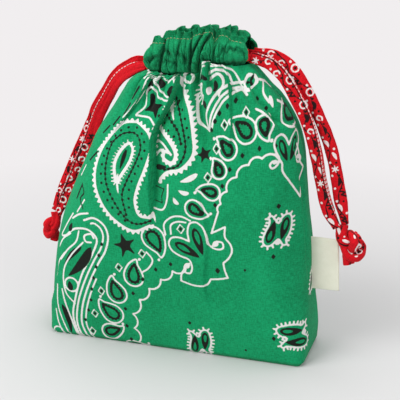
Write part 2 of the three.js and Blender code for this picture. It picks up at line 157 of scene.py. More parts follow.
def mesh_object(name, points, faces, material):
    mesh = bpy.data.meshes.new(name)
    mesh.from_pydata([tuple(p) for p in np.asarray(points) * MM], [], [tuple(f) for f in faces])
    mesh.validate()
    mesh.update()
    mesh.polygons.foreach_set("use_smooth", [True] * len(mesh.polygons))
    mesh.materials.append(material)
    obj = bpy.data.objects.new(name, mesh)
    bpy.context.scene.collection.objects.link(obj)
    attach(obj, "root")
    return obj


def grid_faces(rows, columns, wrap=False, first=0, flip=False):
    """Quads of a grid of points stored row by row."""
    faces = []
    across = columns if wrap else columns - 1
    for r in range(rows - 1):
        for c in range(across):
            d = (c + 1) % columns
            quad = (first + r * columns + c, first + r * columns + d,
                    first + (r + 1) * columns + d, first + (r + 1) * columns + c)
            faces.append(quad[::-1] if flip else quad)
    return faces


def put_attribute(obj, name, values):
    attribute = obj.data.attributes.new(name, "FLOAT", "POINT")
    attribute.data.foreach_set("value", np.asarray(values, np.float32).ravel())


def put_threads(obj, across, along):
    """Where each point lies on the flat cloth, for the weave."""
    put_attribute(obj, "thread_across", across)
    put_attribute(obj, "thread_along", along)


def ripple(points, scale, seed):
    """Smooth noise between -1 and 1 at each point."""
    offset = Vector((seed * 7.3, seed * 3.1, seed * 5.7))
    return np.array([noise.noise(Vector(p) / scale + offset) for p in points])


def make_camera():
    a, e = math.radians(AZIMUTH), math.radians(ELEVATION)
    back = np.array([math.sin(a) * math.cos(e), -math.cos(a) * math.cos(e), math.sin(e)])
    data = bpy.data.cameras.new("camera")
    data.sensor_width = SENSOR
    data.lens = LENS
    camera = bpy.data.objects.new("camera", data)
    camera.location = Vector((TARGET + back * DISTANCE) * MM)
    camera.rotation_euler = Vector(back).to_track_quat("Z", "Y").to_euler()
    bpy.context.scene.collection.objects.link(camera)
    bpy.context.scene.camera = camera


make_camera()


def srgb(r, g, b):
    """A colour as seen on a screen, in the linear values that a shader takes."""
    linear = [((c / 255 + 0.055) / 1.055) ** 2.4 if c > 10 else c / 255 / 12.92 for c in (r, g, b)]
    return (*linear, 1.0)


THREAD_PITCH = 0.5  # between the cotton's threads
INK_BLACK = srgb(26, 22, 22)
INK_WHITE = srgb(236, 232, 230)
# Painted shade: the dark green that the plain cotton turns towards in its deep folds and on the frill's inner
# side
PAINTED_FOLD_SHADE = srgb(3, 40, 23)


class Nodes:
    """Builds a material's nodes with few words."""

    def __init__(self, name):
        self.material = bpy.data.materials.new(name)
        self.material.use_nodes = True
        self.tree = self.material.node_tree
        self.shader = self.tree.nodes["Principled BSDF"]
        self.coordinates = self.tree.nodes.new("ShaderNodeTexCoord").outputs["Object"]

    def link(self, value, socket):
        if hasattr(value, "is_output"):
            self.tree.links.new(value, socket)
        else:
            socket.default_value = value

    def noise(self, scale, detail=2.0, roughness=0.5, vector=None):
        node = self.tree.nodes.new("ShaderNodeTexNoise")
        self.tree.links.new(vector or self.coordinates, node.inputs["Vector"])
        node.inputs["Scale"].default_value = scale
        node.inputs["Detail"].default_value = detail
        node.inputs["Roughness"].default_value = roughness
        return node.outputs["Fac"]

    def math(self, operation, a, b=0.0, clamp=False):
        node = self.tree.nodes.new("ShaderNodeMath")
        node.operation = operation
        node.use_clamp = clamp
        self.link(a, node.inputs[0])
        self.link(b, node.inputs[1])
        return node.outputs[0]

    def spread(self, value, low, high, to_low, to_high):
        node = self.tree.nodes.new("ShaderNodeMapRange")
        node.clamp = True
        self.link(value, node.inputs["Value"])
        for key, number in (("From Min", low), ("From Max", high), ("To Min", to_low), ("To Max", to_high)):
            node.inputs[key].default_value = number
        return node.outputs["Result"]

    def mix(self, factor, a, b):
        node = self.tree.nodes.new("ShaderNodeMix")
        node.data_type = "RGBA"
        self.link(factor, node.inputs["Factor"])
        self.link(a, node.inputs["A"])
        self.link(b, node.inputs["B"])
        return node.outputs["Result"]

    def attribute(self, name):
        node = self.tree.nodes.new("ShaderNodeAttribute")
        node.attribute_name = name
        return node.outputs["Fac"]

    def threads(self, attribute):
        """Fine parallel threads across one of the cloth's own directions, between 0 and 1."""
        swell = self.math("MULTIPLY", self.noise(700.0, 1.0), 1.6)
        turns = self.math("MULTIPLY", self.attribute(attribute), 2 * math.pi / THREAD_PITCH)
        turn = self.math("ADD", turns, swell)
        return self.math("ADD", self.math("MULTIPLY", self.math("SINE", turn), 0.5), 0.5)

    def slubs(self, across, along):
        """Thick and thin places of the yarn, drawn out along one of the cloth's own directions."""
        join = self.tree.nodes.new("ShaderNodeCombineXYZ")
        self.link(self.math("MULTIPLY", self.attribute("thread_across"), across), join.inputs["X"])
        self.link(self.math("MULTIPLY", self.attribute("thread_along"), along), join.inputs["Y"])
        return self.noise(1.0, 2.0, 0.6, join.outputs["Vector"])

    def bump(self, height, distance, strength=1.0):
        node = self.tree.nodes.new("ShaderNodeBump")
        node.inputs["Distance"].default_value = distance
        node.inputs["Strength"].default_value = strength
        self.tree.links.new(height, node.inputs["Height"])
        self.tree.links.new(node.outputs["Normal"], self.shader.inputs["Normal"])


def cotton_material(name, light, dark, printed, bump=1.0):
    """Plain-woven cotton, with white and black ink where the cloth is printed, and painted shade in its deep
    folds where it is not.
    """
    n = Nodes(name)
    weave = n.math("MULTIPLY", n.threads("thread_across"), n.threads("thread_along"))
    slub = n.math("ADD", n.slubs(1.7, 0.35), n.slubs(0.35, 1.7))
    worn = n.noise(30.0, 5.0, 0.65)
    shade = n.math("ADD", n.math("MULTIPLY", weave, 0.15), n.math("MULTIPLY", slub, 0.5))
    shade = n.math("ADD", n.math("MULTIPLY", shade, 0.75), n.math("MULTIPLY", worn, 0.25))
    colour = n.mix(n.spread(shade, 0.42, 0.6, 0.0, 1.0), dark, light)
    # Unprinted cloth gets painted shade, darker the deeper the point lies in a fold
    if not printed:
        colour = n.mix(n.spread(n.attribute("painted_shade_depth"), 0.3, 3.4, 0.0, 0.78), colour, PAINTED_FOLD_SHADE)
    else:
        ragged = n.math("MULTIPLY", n.math("SUBTRACT", n.noise(1500.0, 1.0), 0.5), 0.35)
        white = n.spread(n.math("ADD", n.attribute("white_ink"), ragged), -0.12, 0.12, 0.0, 0.95)
        black = n.spread(n.math("ADD", n.attribute("black_ink"), ragged), -0.12, 0.12, 0.0, 0.985)
        colour = n.mix(white, colour, INK_WHITE)
        colour = n.mix(black, colour, INK_BLACK)
    n.link(colour, n.shader.inputs["Base Color"])
    n.shader.inputs["Roughness"].default_value = 0.88
    n.shader.inputs["Specular IOR Level"].default_value = 0.12
    n.shader.inputs["Sheen Weight"].default_value = 0.04
    n.shader.inputs["Sheen Roughness"].default_value = 0.5
    large = n.math("MULTIPLY", n.noise(90.0, 4.0, 0.6), 5.0)
    crumple = n.math("ADD", large, n.math("MULTIPLY", n.noise(280.0, 2.0), 1.2))
    n.bump(n.math("ADD", n.math("MULTIPLY", weave, 0.5), crumple), 0.00016 * bump, 0.9)
    return n.material


PRINTED_COTTON = cotton_material("printed_cotton", srgb(20, 162, 105), srgb(6, 124, 76), True)
SEWING_THREAD = cotton_material("sewing_thread", srgb(166, 172, 130), srgb(140, 148, 104), False)
PLAIN_COTTON = cotton_material("plain_cotton", srgb(20, 152, 97), srgb(6, 112, 67), False, 1.6)
RED_COTTON = cotton_material("red_cotton", srgb(220, 20, 34), srgb(182, 10, 22), True)


def pleats(valleys, place, power=0.7):
    """0 in the valley between two pleats and 1 on a crest."""
    place = np.asarray(place, float)
    edges = np.array(valleys, float)
    i = np.clip(np.searchsorted(edges, place, side="right") - 1, 0, len(edges) - 2)
    share = np.clip((place - edges[i]) / (edges[i + 1] - edges[i]), 0, 1)
    return np.sin(math.pi * share) ** power


def reach_left(height):
    neck = NECK_OFFSET - NECK_HALF_WIDTH
    return neck + (-BASE_HALF_WIDTH - neck) * value_at(LEFT_OUTLINE, height / NECK_HEIGHT)


def reach_right(height):
    neck = NECK_OFFSET + NECK_HALF_WIDTH
    return neck + (BASE_HALF_WIDTH - neck) * value_at(RIGHT_OUTLINE, height / NECK_HEIGHT)


def tilted(height, x):
    return height + NECK_TILT * (x - NECK_OFFSET) * smoothstep(height, NECK_HEIGHT * 2 / 3, NECK_HEIGHT)


SIDE_POINTS, CORNER_POINTS, FACE_POINTS = 8, 20, 81


def section_line(height, face, columns):
    """One level line over the front or back, from the left seam to the right seam. Each point has its
    x, y, normal, way along the neck and place across the cloth."""
    share = height / NECK_HEIGHT
    left, right = float(reach_left(height)), float(reach_right(height))
    middle, half_width = (left + right) / 2, (right - left) / 2
    half_depth = NECK_HALF_DEPTH + (BASE_HALF_DEPTH - NECK_HALF_DEPTH) * float(value_at(DEPTH_OUTLINE, share))
    roundness = min(float(value_at(CORNER_OUTLINE, share)), 1.0)
    radius = BASE_CORNER_RADIUS + (half_depth - BASE_CORNER_RADIUS) * roundness
    side_way = NECK_STRAIGHT + NECK_RADIUS * math.pi / 2
    rows = []
    flat = half_depth - radius
    for side in (-1, 1):
        part = []
        for t in np.linspace(0, 1, SIDE_POINTS, endpoint=False):
            part.append((middle + side * half_width, face * flat * t, side, 0, side * side_way))
        for angle in np.linspace(math.pi / 2, 0, CORNER_POINTS, endpoint=False):
            nx, ny = side * math.sin(angle), face * math.cos(angle)
            part.append((middle + side * (half_width - radius) + nx * radius,
                         face * flat + ny * radius, nx, ny,
                         side * (NECK_STRAIGHT + NECK_RADIUS * angle)))
        rows.append(part)
    front = [
        (middle + along * (half_width - radius), face * half_depth, 0, face, along * NECK_STRAIGHT)
        for along in np.linspace(-1, 1, FACE_POINTS)
    ]
    line = np.array(rows[0] + front + rows[1][::-1])
    steps = np.concatenate([[0], np.cumsum(np.linalg.norm(np.diff(line[:, :2], axis=0), axis=1))])
    flat_part = slice(SIDE_POINTS + CORNER_POINTS, -SIDE_POINTS - CORNER_POINTS)
    across = steps - np.interp(middle, line[flat_part, 0], steps[flat_part]) + middle
    at = np.linspace(0, steps[-1], columns)
    dense = np.column_stack([line, across])
    even = np.stack([np.interp(at, steps, dense[:, k]) for k in range(dense.shape[1])], axis=1)
    long = np.maximum(np.linalg.norm(even[:, 2:4], axis=1, keepdims=True), 1e-9)
    even[:, 2:4] /= long
    return even, middle, half_width


# Folds of the front: (depth left of the line, depth right of it, reach left, reach right, route).
# A route is a list of (across, height) from top to bottom, and depth is outward where positive.
FRONT_FOLDS = [
    (3.6, -6.2, 9.0, 6.5, [(1.5, 178), (1, 172), (-2, 164), (-9, 150), (-11, 141), (-10.5, 125), (-9.5, 82)]),
    (-5.0, -5.0, 2.6, 4.0, [(14, 179), (14.5, 166), (19, 152), (24, 139), (25, 124)]),
    (-2.6, -2.6, 1.2, 1.4, [(-8, 178), (-9, 172), (-12, 164), (-16, 155)]),
    (-2.4, -2.4, 1.1, 1.3, [(8, 178), (8, 172), (9, 164)]),
    (-2.4, -2.4, 1.1, 1.3, [(17, 180), (17.5, 173), (19, 165)]),
    (-2.6, -2.6, 1.2, 1.2, [(22, 181), (22.5, 174), (25, 163)]),
    (-2.2, -2.2, 1.3, 1.5, [(34, 182), (37, 174), (42, 166), (48, 158)]),
    (2.0, -2.6, 4.0, 3.0, [(46, 168), (52, 160), (61, 152), (68, 142)]),
    (1.4, -1.8, 4.0, 3.0, [(60, 151), (68, 148), (76, 147), (84, 143)]),
    (1.6, -2.0, 4.0, 3.4, [(-16, 174), (-24, 164), (-32, 153), (-40, 140)]),
    (1.4, -1.4, 7.0, 7.0, [(34, 172), (36, 160), (38, 146), (36, 130)]),
    (1.0, -1.2, 7.0, 6.0, [(78, 132), (86, 100), (88, 74), (92, 50)]),
    (0.8, -1.0, 6.0, 6.0, [(-95, 10), (-84, 26), (-78, 48), (-80, 78)]),
    (0.9, -0.9, 9.0, 9.0, [(20, 110), (26, 84), (24, 52), (30, 24)]),
]
BACK_FOLDS = [
    (2.2, -2.8, 8.0, 5.0, [(26, 178), (29, 165), (36, 150), (39, 128), (38, 100)]),
    (-3.4, -3.4, 3.2, 4.5, [(6, 179), (4, 168), (0, 152), (-4, 136)]),
    (1.8, -1.8, 6.0, 5.0, [(-12, 176), (-18, 164), (-30, 148), (-40, 130)]),
    (1.2, -1.4, 6.0, 6.0, [(44, 172), (54, 158), (66, 140), (74, 118)]),
    (0.8, -0.8, 8.0, 8.0, [(-60, 120), (-66, 90), (-70, 60)]),
]


FOLD_STEP = 1.3  # how wide the steep side of a fold is on the flat cloth
SEAM_FADE = 8.0  # over what width the folds die out towards a side seam
UNDERSIDE_LIFT = 0.54  # how far the middle of the underside stands off the floor


def nearest_on(line, s, h):
    """For each point: its distance from the line, the side it lies on, which is positive on the left of the
    line's own way, and how far along the line it is, as a share."""
    best = np.full(s.shape, 1e9)
    side = np.zeros(s.shape)
    share = np.zeros(s.shape)
    along = np.concatenate([[0], np.cumsum(np.linalg.norm(np.diff(line, axis=0), axis=1))])
    for i, (a, b) in enumerate(zip(line, line[1:])):
        d = b - a
        t = np.clip(((s - a[0]) * d[0] + (h - a[1]) * d[1]) / max(d @ d, 1e-12), 0, 1)
        off = np.hypot(s - a[0] - t * d[0], h - a[1] - t * d[1])
        closer = off < best
        best = np.where(closer, off, best)
        side = np.where(closer, np.sign(d[0] * (h - a[1]) - d[1] * (s - a[0])), side)
        share = np.where(closer, (along[i] + t * (along[i + 1] - along[i])) / along[-1], share)
    return best, side, share


def fold_field(folds, s, h):
    total = np.zeros(s.shape)
    for left, right, reach_l, reach_r, route in folds:
        line = spline(route, 3.0)
        far, side, share = nearest_on(line, s, h)
        fade = np.where(share < 0.08, 0.6 + 0.4 * share / 0.08, 1.0) * (1 - smoothstep(share, 0.62, 1.0))
        left_side = left * np.exp(-((far / reach_l) ** 2))
        right_side = right * np.exp(-((far / reach_r) ** 2))
        if left * right < 0:
            step = smoothstep(far, 0.0, FOLD_STEP)
            right_side = right_side * step + left * (1 - step)
        total += np.where(side < 0, left_side, right_side) * fade
    return total


FRONT_SEAM_RISE = [
    (-35, 2.6), (-20, 4.0), (-11, 3.8), (-4, 1.0), (4, 1.6), (9, 0.4), (15, 1.0), (17.4, 7.4), (19.4, 8.6),
    (24, 6.6), (30, 4.6), (36, 3.0), (46, 2.0), (60, 1.0),
]
BACK_SEAM_RISE = [(-35, 1.0), (-12, 2.4), (-4, 0.6), (3, 2.2), (12, 0.6), (22, 1.8), (34, 0.8), (60, 1.0)]


def seam_rise(face, x):
    """How far the printed cloth rides up over the casing, in height."""
    return value_at(FRONT_SEAM_RISE if face < 0 else BACK_SEAM_RISE, np.clip(x, -34.9, 59.9))


def bag_sheet(face, columns, heights, folds, valleys, seed):
    """The points of the front or back wall with the underside's half below it, the place of each point on
    the flat cloth, and how far it is tucked into the steep side of a fold."""
    crown_size = FRONT_CROWN if face < 0 else BACK_CROWN
    edges = np.array(valleys)
    fine_edges = np.sort(np.concatenate([edges, edges[:-1] * 0.52 + edges[1:] * 0.48]))
    points, across_all, height_all, seam_all, steep_all = [], [], [], [], []
    for height in heights:
        level = max(height, 0.0)
        line, middle, half_width = section_line(level, face, columns)
        x, y, nx, ny, way, across = line.T
        share = level / NECK_HEIGHT
        crown = crown_size * float(value_at(CROWN_OUTLINE, share))
        bulge = crown * (1 - ((x - middle) / half_width) ** 2) * np.abs(ny)
        pleated = pleats(valleys, way / CASING_REACH) - 0.6
        fine = pleats(fine_edges, way / CASING_REACH, 0.8) - 0.6
        fold = BODY_PLEAT_DEPTH * 1.5 * float(value_at(PLEAT_OUTLINE, share)) * pleated
        fold = fold + 1.1 * smoothstep(share, 0.86, 0.97) * fine
        seam = smoothstep(np.minimum(across - across[0], across[-1] - across), 0.0, SEAM_FADE)
        placed = fold_field(folds, across, np.full(across.shape, height))
        fold = fold + placed * smoothstep(height, -2.0, 8.0) * seam
        inset = BASE_EDGE_INSET * (1 - smoothstep(height, 0.0, BASE_EDGE_INSET * 1.2)) * 0.8
        x = x + nx * (fold - inset)
        y = y + ny * (bulge + fold - inset)
        z = tilted(level, x)
        top = smoothstep(share, 0.88, 1.0)
        rise = seam_rise(face, x)
        z = z + rise * top
        y = y + ny * top * (1.6 + np.maximum(rise, 0) * 0.75)
        x = x + nx * top
        if height < 0:
            pull = np.clip(-height / BASE_HALF_DEPTH, 0, 1)
            x = x * (1 - 0.02 * pull)
            y = y * (1 - pull)
            z = np.full(x.shape, UNDERSIDE_LIFT * (1 - (1 - pull) ** 4))
        points.append(np.column_stack([x, y, z]))
        across_all.append(across)
        height_all.append(np.full(columns, height))
        seam_all.append(seam)
        steep_all.append(smoothstep(np.abs(np.gradient(fold, across)), 2.0, 3.5))
    grid = np.array(points)
    flat = grid.reshape(-1, 3)
    soft = ripple(flat, 34.0, seed) * 0.9 + ripple(flat, 13.0, seed + 1) * 0.3
    weight = smoothstep(np.array(height_all).ravel(), 4.0, 30.0) * np.array(seam_all).ravel()
    flat[:, 1] += face * soft * weight
    return flat, np.array(across_all).ravel(), np.array(height_all).ravel(), np.array(steep_all).ravel()


WHITE, BLACK, BARE = "white_ink", "black_ink", "bare"
INK_MARGIN = 3.0  # how far from a motif's edge its depth is kept
CURVE_SPACING = 1.0
FINE, LINE, BOLD = 1.0, 1.1, 1.15  # widths of the print's white lines


def moved(points, at, size=1.0, turn=0.0, mirror=False):
    """Points of a motif drawn round (0, 0), scaled, mirrored, turned by degrees and set at a place."""
    p = np.array(points, float) * size
    if mirror:
        p[:, 0] *= -1
    c, s = math.cos(math.radians(turn)), math.sin(math.radians(turn))
    return np.column_stack([p[:, 0] * c - p[:, 1] * s, p[:, 0] * s + p[:, 1] * c]) + at


def beside(line, distance):
    """The line that runs a distance to the left of another."""
    way = np.gradient(line, axis=0)
    way /= np.maximum(np.linalg.norm(way, axis=1, keepdims=True), 1e-9)
    return line + distance * np.column_stack([-way[:, 1], way[:, 0]])


def curve(points, closed=False):
    if not closed:
        return spline(points, CURVE_SPACING)
    p = [tuple(q) for q in points]
    around = spline(p[-2:] + p + p[:3], CURVE_SPACING)
    half = len(around) // 2
    start = np.argmin(np.linalg.norm(around[:half] - p[0], axis=1))
    end = half + np.argmin(np.linalg.norm(around[half:] - p[0], axis=1))
    return around[start: end + 1]


def leaf_outline(root, tip, width, bend=0.0):
    """A pointed leaf from root to tip, widest nearer the root, its middle bent aside."""
    root, tip = np.array(root, float), np.array(tip, float)
    way = tip - root
    side = np.array([-way[1], way[0]]) / np.linalg.norm(way)
    t = np.linspace(0, 1, 13)[:, None]
    middle = root + way * t + side * bend * 4 * t * (1 - t)
    half = width / 2 * np.sin(math.pi * t ** 0.72) ** 0.8
    return np.vstack([middle + side * half, (middle - side * half)[::-1]])


class Print:
    """Ink on a cloth. For each point of the cloth it keeps how deep the point lies in the white and the
    black ink, and ink painted later covers what is under it."""

    def __init__(self, across, height):
        self.place = np.column_stack([across, height])
        self.depth = {ink: np.full(len(across), -INK_MARGIN) for ink in (WHITE, BLACK)}

    def paint(self, ink, shape, depth_at):
        low, high = shape.min(axis=0) - INK_MARGIN, shape.max(axis=0) + INK_MARGIN
        near = np.flatnonzero(((self.place > low) & (self.place < high)).all(axis=1))
        if not len(near):
            return
        depth = depth_at(self.place[near])
        for name, field in self.depth.items():
            field[near] = np.maximum(field[near], depth) if name == ink else np.minimum(field[near], -depth)

    def stroke(self, ink, line, width, teeth=0.0, pitch=3.0):
        """A line of ink, with rounded teeth along the left of its way or none."""
        line = np.asarray(line, float)
        length = length_of(line)

        def depth_at(place):
            far, side, share = nearest_on(line, place[:, 0], place[:, 1])
            wave = teeth * (0.5 + 0.5 * np.cos(2 * math.pi * share * round(length / pitch)))
            return width / 2 + np.where(side > 0, wave, 0.0) - far

        self.paint(ink, line, depth_at)

    def curves(self, width, *routes):
        for route in routes:
            self.stroke(WHITE, curve(route), width)

    def area(self, ink, outline):
        outline = np.asarray(outline, float)
        closed = np.vstack([outline, outline[:1]])

        def depth_at(place):
            far = nearest_on(closed, place[:, 0], place[:, 1])[0]
            inside = np.zeros(len(place), bool)
            for (ax, ay), (bx, by) in zip(closed, closed[1:]):
                crosses = (ay > place[:, 1]) != (by > place[:, 1])
                reach = ax + (place[:, 1] - ay) * (bx - ax) / (by - ay if by != ay else 1e-9)
                inside ^= crosses & (place[:, 0] < reach)
            return np.where(inside, far, -far)

        self.paint(ink, outline, depth_at)

    def dot(self, ink, at, radius):
        at = np.array(at, float)
        self.paint(ink, at + radius * np.array([(-1, -1), (1, 1)]),
                   lambda place: radius - np.linalg.norm(place - at, axis=1))

    def dots(self, ink, line, radius, pitch):
        for at in evenly(np.asarray(line, float), max(2, round(length_of(line) / pitch) + 1)):
            self.dot(ink, at, radius)

    def beaded(self, line, width=0.8, radius=0.95, pitch=3.2):
        self.stroke(BLACK, line, width)
        self.dots(BLACK, line, radius, pitch)

    def diamond(self, at, size, framed=False, turn=8.0):
        shape = [(0, 1), (0.8, 0), (0, -1), (-0.8, 0)]
        if framed:
            self.area(WHITE, moved(shape, at, size * 2.3, turn))
            self.area(BARE, moved(shape, at, size * 1.55, turn))
        self.area(BLACK, moved(shape, at, size, turn))

    def leaf(self, ink, root, tip, width, bend=0.0):
        self.area(ink, leaf_outline(root, tip, width, bend))

    def fringe(self, ink, outline, reach, pitch, width=0.75):
        """Short hairs that stand out of a closed outline drawn clockwise."""
        line = evenly(outline, max(6, round(length_of(outline) / pitch)))
        for root, tip in zip(line, beside(line, reach)):
            self.stroke(ink, [root, tip], width)

    def ring(self, ink, at, radius, width):
        angles = np.linspace(0, 2 * math.pi, 25)
        self.stroke(ink, np.array(at) + radius * np.column_stack([np.cos(angles), np.sin(angles)]), width)

    def star(self, ink, at, radius, rays, turn=0.0):
        for k in range(rays):
            angle = turn + 2 * math.pi * k / rays
            tip = np.array(at) + radius * np.array([math.cos(angle), math.sin(angle)])
            self.stroke(ink, [at, tip], 0.8)
        self.dot(ink, at, radius * 0.55)


# A small paisley one unit from the middle of its round end to its tip, drawn clockwise
PAISLEY = [
    (0.12, 1.0), (0.2, 0.72), (0.38, 0.42), (0.52, 0.08), (0.46, -0.3), (0.2, -0.52), (-0.14, -0.54),
    (-0.44, -0.34), (-0.56, 0.02), (-0.46, 0.4), (-0.24, 0.76),
]
PAISLEY_CORE = [
    (0.02, 0.66), (0.16, 0.36), (0.26, 0.06), (0.2, -0.24), (0.0, -0.32), (-0.2, -0.22), (-0.28, 0.04),
    (-0.18, 0.38),
]


def pose_of(at, tip):
    way = np.array(tip, float) - at
    return float(np.linalg.norm(way)), math.degrees(math.atan2(-way[0], way[1]))


def small_paisley(ink, at, tip, mirror=False):
    """An outlined paisley with a ticked black core, its round end at a place and its tip at another."""
    size, turn = pose_of(at, tip)
    outline = curve(moved(PAISLEY, at, size, turn, mirror), closed=True)
    ink.stroke(WHITE, outline, BOLD)
    core = curve(moved(PAISLEY_CORE, at, size, turn, mirror), closed=True)
    ink.stroke(BLACK, core, 1.5, teeth=0.7, pitch=1.9)
    ink.dot(WHITE, moved([(0.3, 1.04)], at, size, turn, mirror)[0], 0.95)


# One half of a flower of two petals on curled sepals, round the node where they meet
PETAL = [
    (0, 13.5), (3.5, 19), (8, 22), (12, 20.5), (13.5, 15.5), (11.5, 9.5), (8.5, 4), (10.5, -1), (14.5, -3),
    (16.5, 0), (14, 2.8),
]


def flower(ink, at, size, turn):
    for mirror in (False, True):
        def put(points):
            return moved(points, at, size, turn, mirror)

        ink.curves(BOLD, put(PETAL))
        ink.leaf(WHITE, *put([(14.5, 1.8), (9.5, 2.2)]), 3.6 * size)
        ink.leaf(BLACK, *put([(8.6, 18.5), (1.2, 1.0)]), 6.2 * size)
        ink.leaf(BARE, *put([(7.9, 16.4), (4.2, 7.2)]), 2.9 * size)


def scallops(ink, cusps, bulge):
    """Rounded lobes of one line between cusps."""
    for a, b in zip(cusps, cusps[1:]):
        a, b = np.array(a, float), np.array(b, float)
        out = np.array([a[1] - b[1], b[0] - a[0]]) * bulge
        ink.curves(BOLD, [a, a * 0.8 + b * 0.2 + out * 0.8, (a + b) / 2 + out * 1.15,
                          a * 0.2 + b * 0.8 + out * 0.8, b])


BIG_PAISLEY = [
    (-10, 87), (-21, 82), (-32, 86), (-41, 94), (-47, 105), (-49, 116), (-46, 129), (-38, 143),
    (-30, 151), (-21, 151), (-12, 145), (-10.5, 134), (-14, 121), (-18, 111), (-20, 101), (-17, 93),
    (-10, 92),
]
BIG_PAISLEY_BEADS = [
    (-10, 90), (-18, 87), (-24, 88), (-33, 97), (-40, 110), (-41, 122), (-37, 137), (-29, 144),
    (-20, 143), (-17, 136), (-20, 126), (-27, 111), (-29, 104), (-26, 92),
]
SECOND_PAISLEY = [
    (1, 176), (7, 167), (12, 157), (15, 145), (16, 133), (9, 124), (0, 121), (-5, 116),
]
SECOND_PAISLEY_BEADS = [
    (-2, 170), (4, 158), (9, 146), (11, 135), (7, 126), (-2, 122.5),
]


def print_big_paisleys(ink):
    ink.stroke(WHITE, curve(BIG_PAISLEY), 1.5, teeth=1.7, pitch=3.2)
    ink.beaded(curve(BIG_PAISLEY_BEADS))
    ink.dots(BLACK, curve([
        (-27, 88), (-38, 98), (-44, 113), (-42, 130), (-30, 147), (-19, 147), (-14, 136), (-18, 124),
        (-24, 109), (-24, 97),
    ]), 0.9, 5.6)
    teardrop = curve([
        (-33, 113), (-35, 122), (-31, 132), (-26, 137), (-23, 134), (-24, 127), (-29, 118),
    ], closed=True)
    ink.stroke(WHITE, teardrop, 1.9)
    ink.fringe(WHITE, teardrop, 2.3, 2.0)
    ink.leaf(BLACK, (-27.5, 133), (-31.5, 119), 2.6)
    ink.star(WHITE, (-33, 113), 3.6, 9)
    ink.leaf(WHITE, (-33, 112), (-31.5, 104), 1.5)
    ink.stroke(BLACK, [(-11, 111), (-1.5, 111), (-3, 106), (-2.5, 102), (-9, 103)], 0.8)
    ink.curves(LINE, [(1, 114), (1, 106), (-2, 98), (-9, 98)])
    ink.leaf(WHITE, (-9, 96), (-6.5, 89), 1.6)

    ink.stroke(WHITE, curve(SECOND_PAISLEY), 1.8, teeth=1.7, pitch=3.2)
    ink.beaded(curve(SECOND_PAISLEY_BEADS))
    ink.leaf(BLACK, (-10, 122), (0, 124.5), 3.4)
    ink.dots(BLACK, curve([(3, 163), (9, 154), (12.5, 143)]), 0.85, 5.2)
    ink.beaded(curve([(-7, 156), (0, 152), (5, 146), (8, 139)]), 0.8, 1.0, 2.8)
    ink.dots(BLACK, [(-5, 150), (3, 143)], 0.85, 4.5)
    curl = curve([(-9, 147), (0, 141), (5, 132), (3, 127), (-3, 129.5), (-3, 133)])
    ink.stroke(WHITE, curl, 2.3, teeth=1.1, pitch=2.3)
    ink.curves(1.4, [(-10, 139), (-4, 138), (2, 132)])
    ink.curves(1.5, [(-10, 129), (-5, 134), (1, 133)])
    ink.star(WHITE, (-2, 160), 2.9, 8)
    ink.leaf(WHITE, (-2, 160), (2, 152), 1.7)
    ink.curves(0.85, [(-1, 163), (-4, 158), (-8, 150)])

    ink.area(BLACK, [(-14, 168), (-12, 168), (-10, 163), (-5, 162.5), (-8, 160), (-9, 154), (-11, 158.5),
                     (-18, 159), (-14, 162)])
    ink.curves(
        BOLD,
        [(-31, 155), (-25, 162), (-19, 169), (-15, 176), (-8, 170), (-2, 167)],
        [(-9, 150), (-13, 155), (-23, 156), (-17, 162), (-17, 169), (-13, 171), (-8, 166), (-2, 165)],
    )
    for root, tip in (((-21, 172), (-26, 166)), ((-27, 163.5), (-31, 157)), ((-34, 155), (-38, 149)),
                      ((-41, 148), (-46, 142)), ((-49, 128), (-56, 121)), ((-60, 105), (-64, 96))):
        ink.stroke(BLACK, [root, tip], 1.25)
    for root, tip in (((-45, 134), (-49, 129)), ((-60, 117), (-64, 110)), ((-56, 97), (-62, 88))):
        ink.stroke(WHITE, [root, tip], 1.0)
    ink.stroke(BLACK, curve([(-60, 106), (-57, 101), (-60, 97), (-57, 91)]), 1.0)


def print_swirl(ink):
    """The striped swirl under the neck and the petals round it."""
    for root, width in (((-13, 174), 4.4), ((-6, 176), 4.6), ((1, 173), 4.2)):
        ink.leaf(BLACK, root, (root[0] - 3, root[1] - 5.5), width)
    zigzag = [(-18, 176), (-15, 179), (-10, 174.5), (-8, 179), (-3, 175), (1, 178.5), (5, 174)]
    ink.stroke(WHITE, zigzag, LINE)
    ink.ring(WHITE, (8.5, 176.5), 3.0, 1.5)
    ink.curves(1.4, [(43, 171), (33, 169), (26, 164), (21.5, 155), (24, 146)])
    ink.curves(
        1.3,
        [(43, 168.5), (35, 167), (28.5, 162), (25, 154), (24.5, 147)],
        [(46, 165), (43, 167), (36, 165), (30, 160), (27, 153), (26, 146)],
        [(23, 171), (29, 174.5), (32, 171), (29, 165)],
    )
    ink.curves(1.25, [(22, 173), (28, 176.5), (34, 174.5), (36, 171)])
    ink.curves(LINE, [(18, 177), (22, 179), (30, 178.5), (37, 176), (42, 170)])
    ink.curves(0.9, [(16, 174), (20, 176.5), (28, 178.3)])
    ink.curves(1.2, [(14, 166), (15.5, 157), (18, 150), (24, 146)])
    ink.leaf(BLACK, (27.5, 171.5), (25, 166), 3.2, 1.0)
    ink.dot(WHITE, (23, 166.5), 1.5)
    ink.leaf(BLACK, (16, 172), (23, 171), 2.4)
    ink.leaf(BLACK, (18.5, 162), (21.5, 158.5), 3.4)
    for degrees in range(150, 241, 18):
        ray = np.array([math.cos(math.radians(degrees)), math.sin(math.radians(degrees))])
        ink.stroke(WHITE, [(21, 167) + 3 * ray, (21, 167) + 8 * ray], 0.9)
    middle = (47, 170.5)
    for turn in (40, 160, 280):
        ink.stroke(WHITE, curve(moved(PAISLEY, middle, 5.6, turn)[1:-1], closed=True), LINE)
        ink.leaf(BLACK, middle, moved([(0, 4.2)], middle, 1, turn + 60)[0], 1.6)
    ink.curves(
        LINE,
        [(52, 171), (58, 169), (63, 166)],
        [(55, 170), (55, 165), (59, 160)],
        [(65, 160), (78, 154), (86, 145)],
        [(52, 158), (56, 156), (62, 151)],
    )
    ink.leaf(WHITE, (59, 163), (62, 157), 2.4)


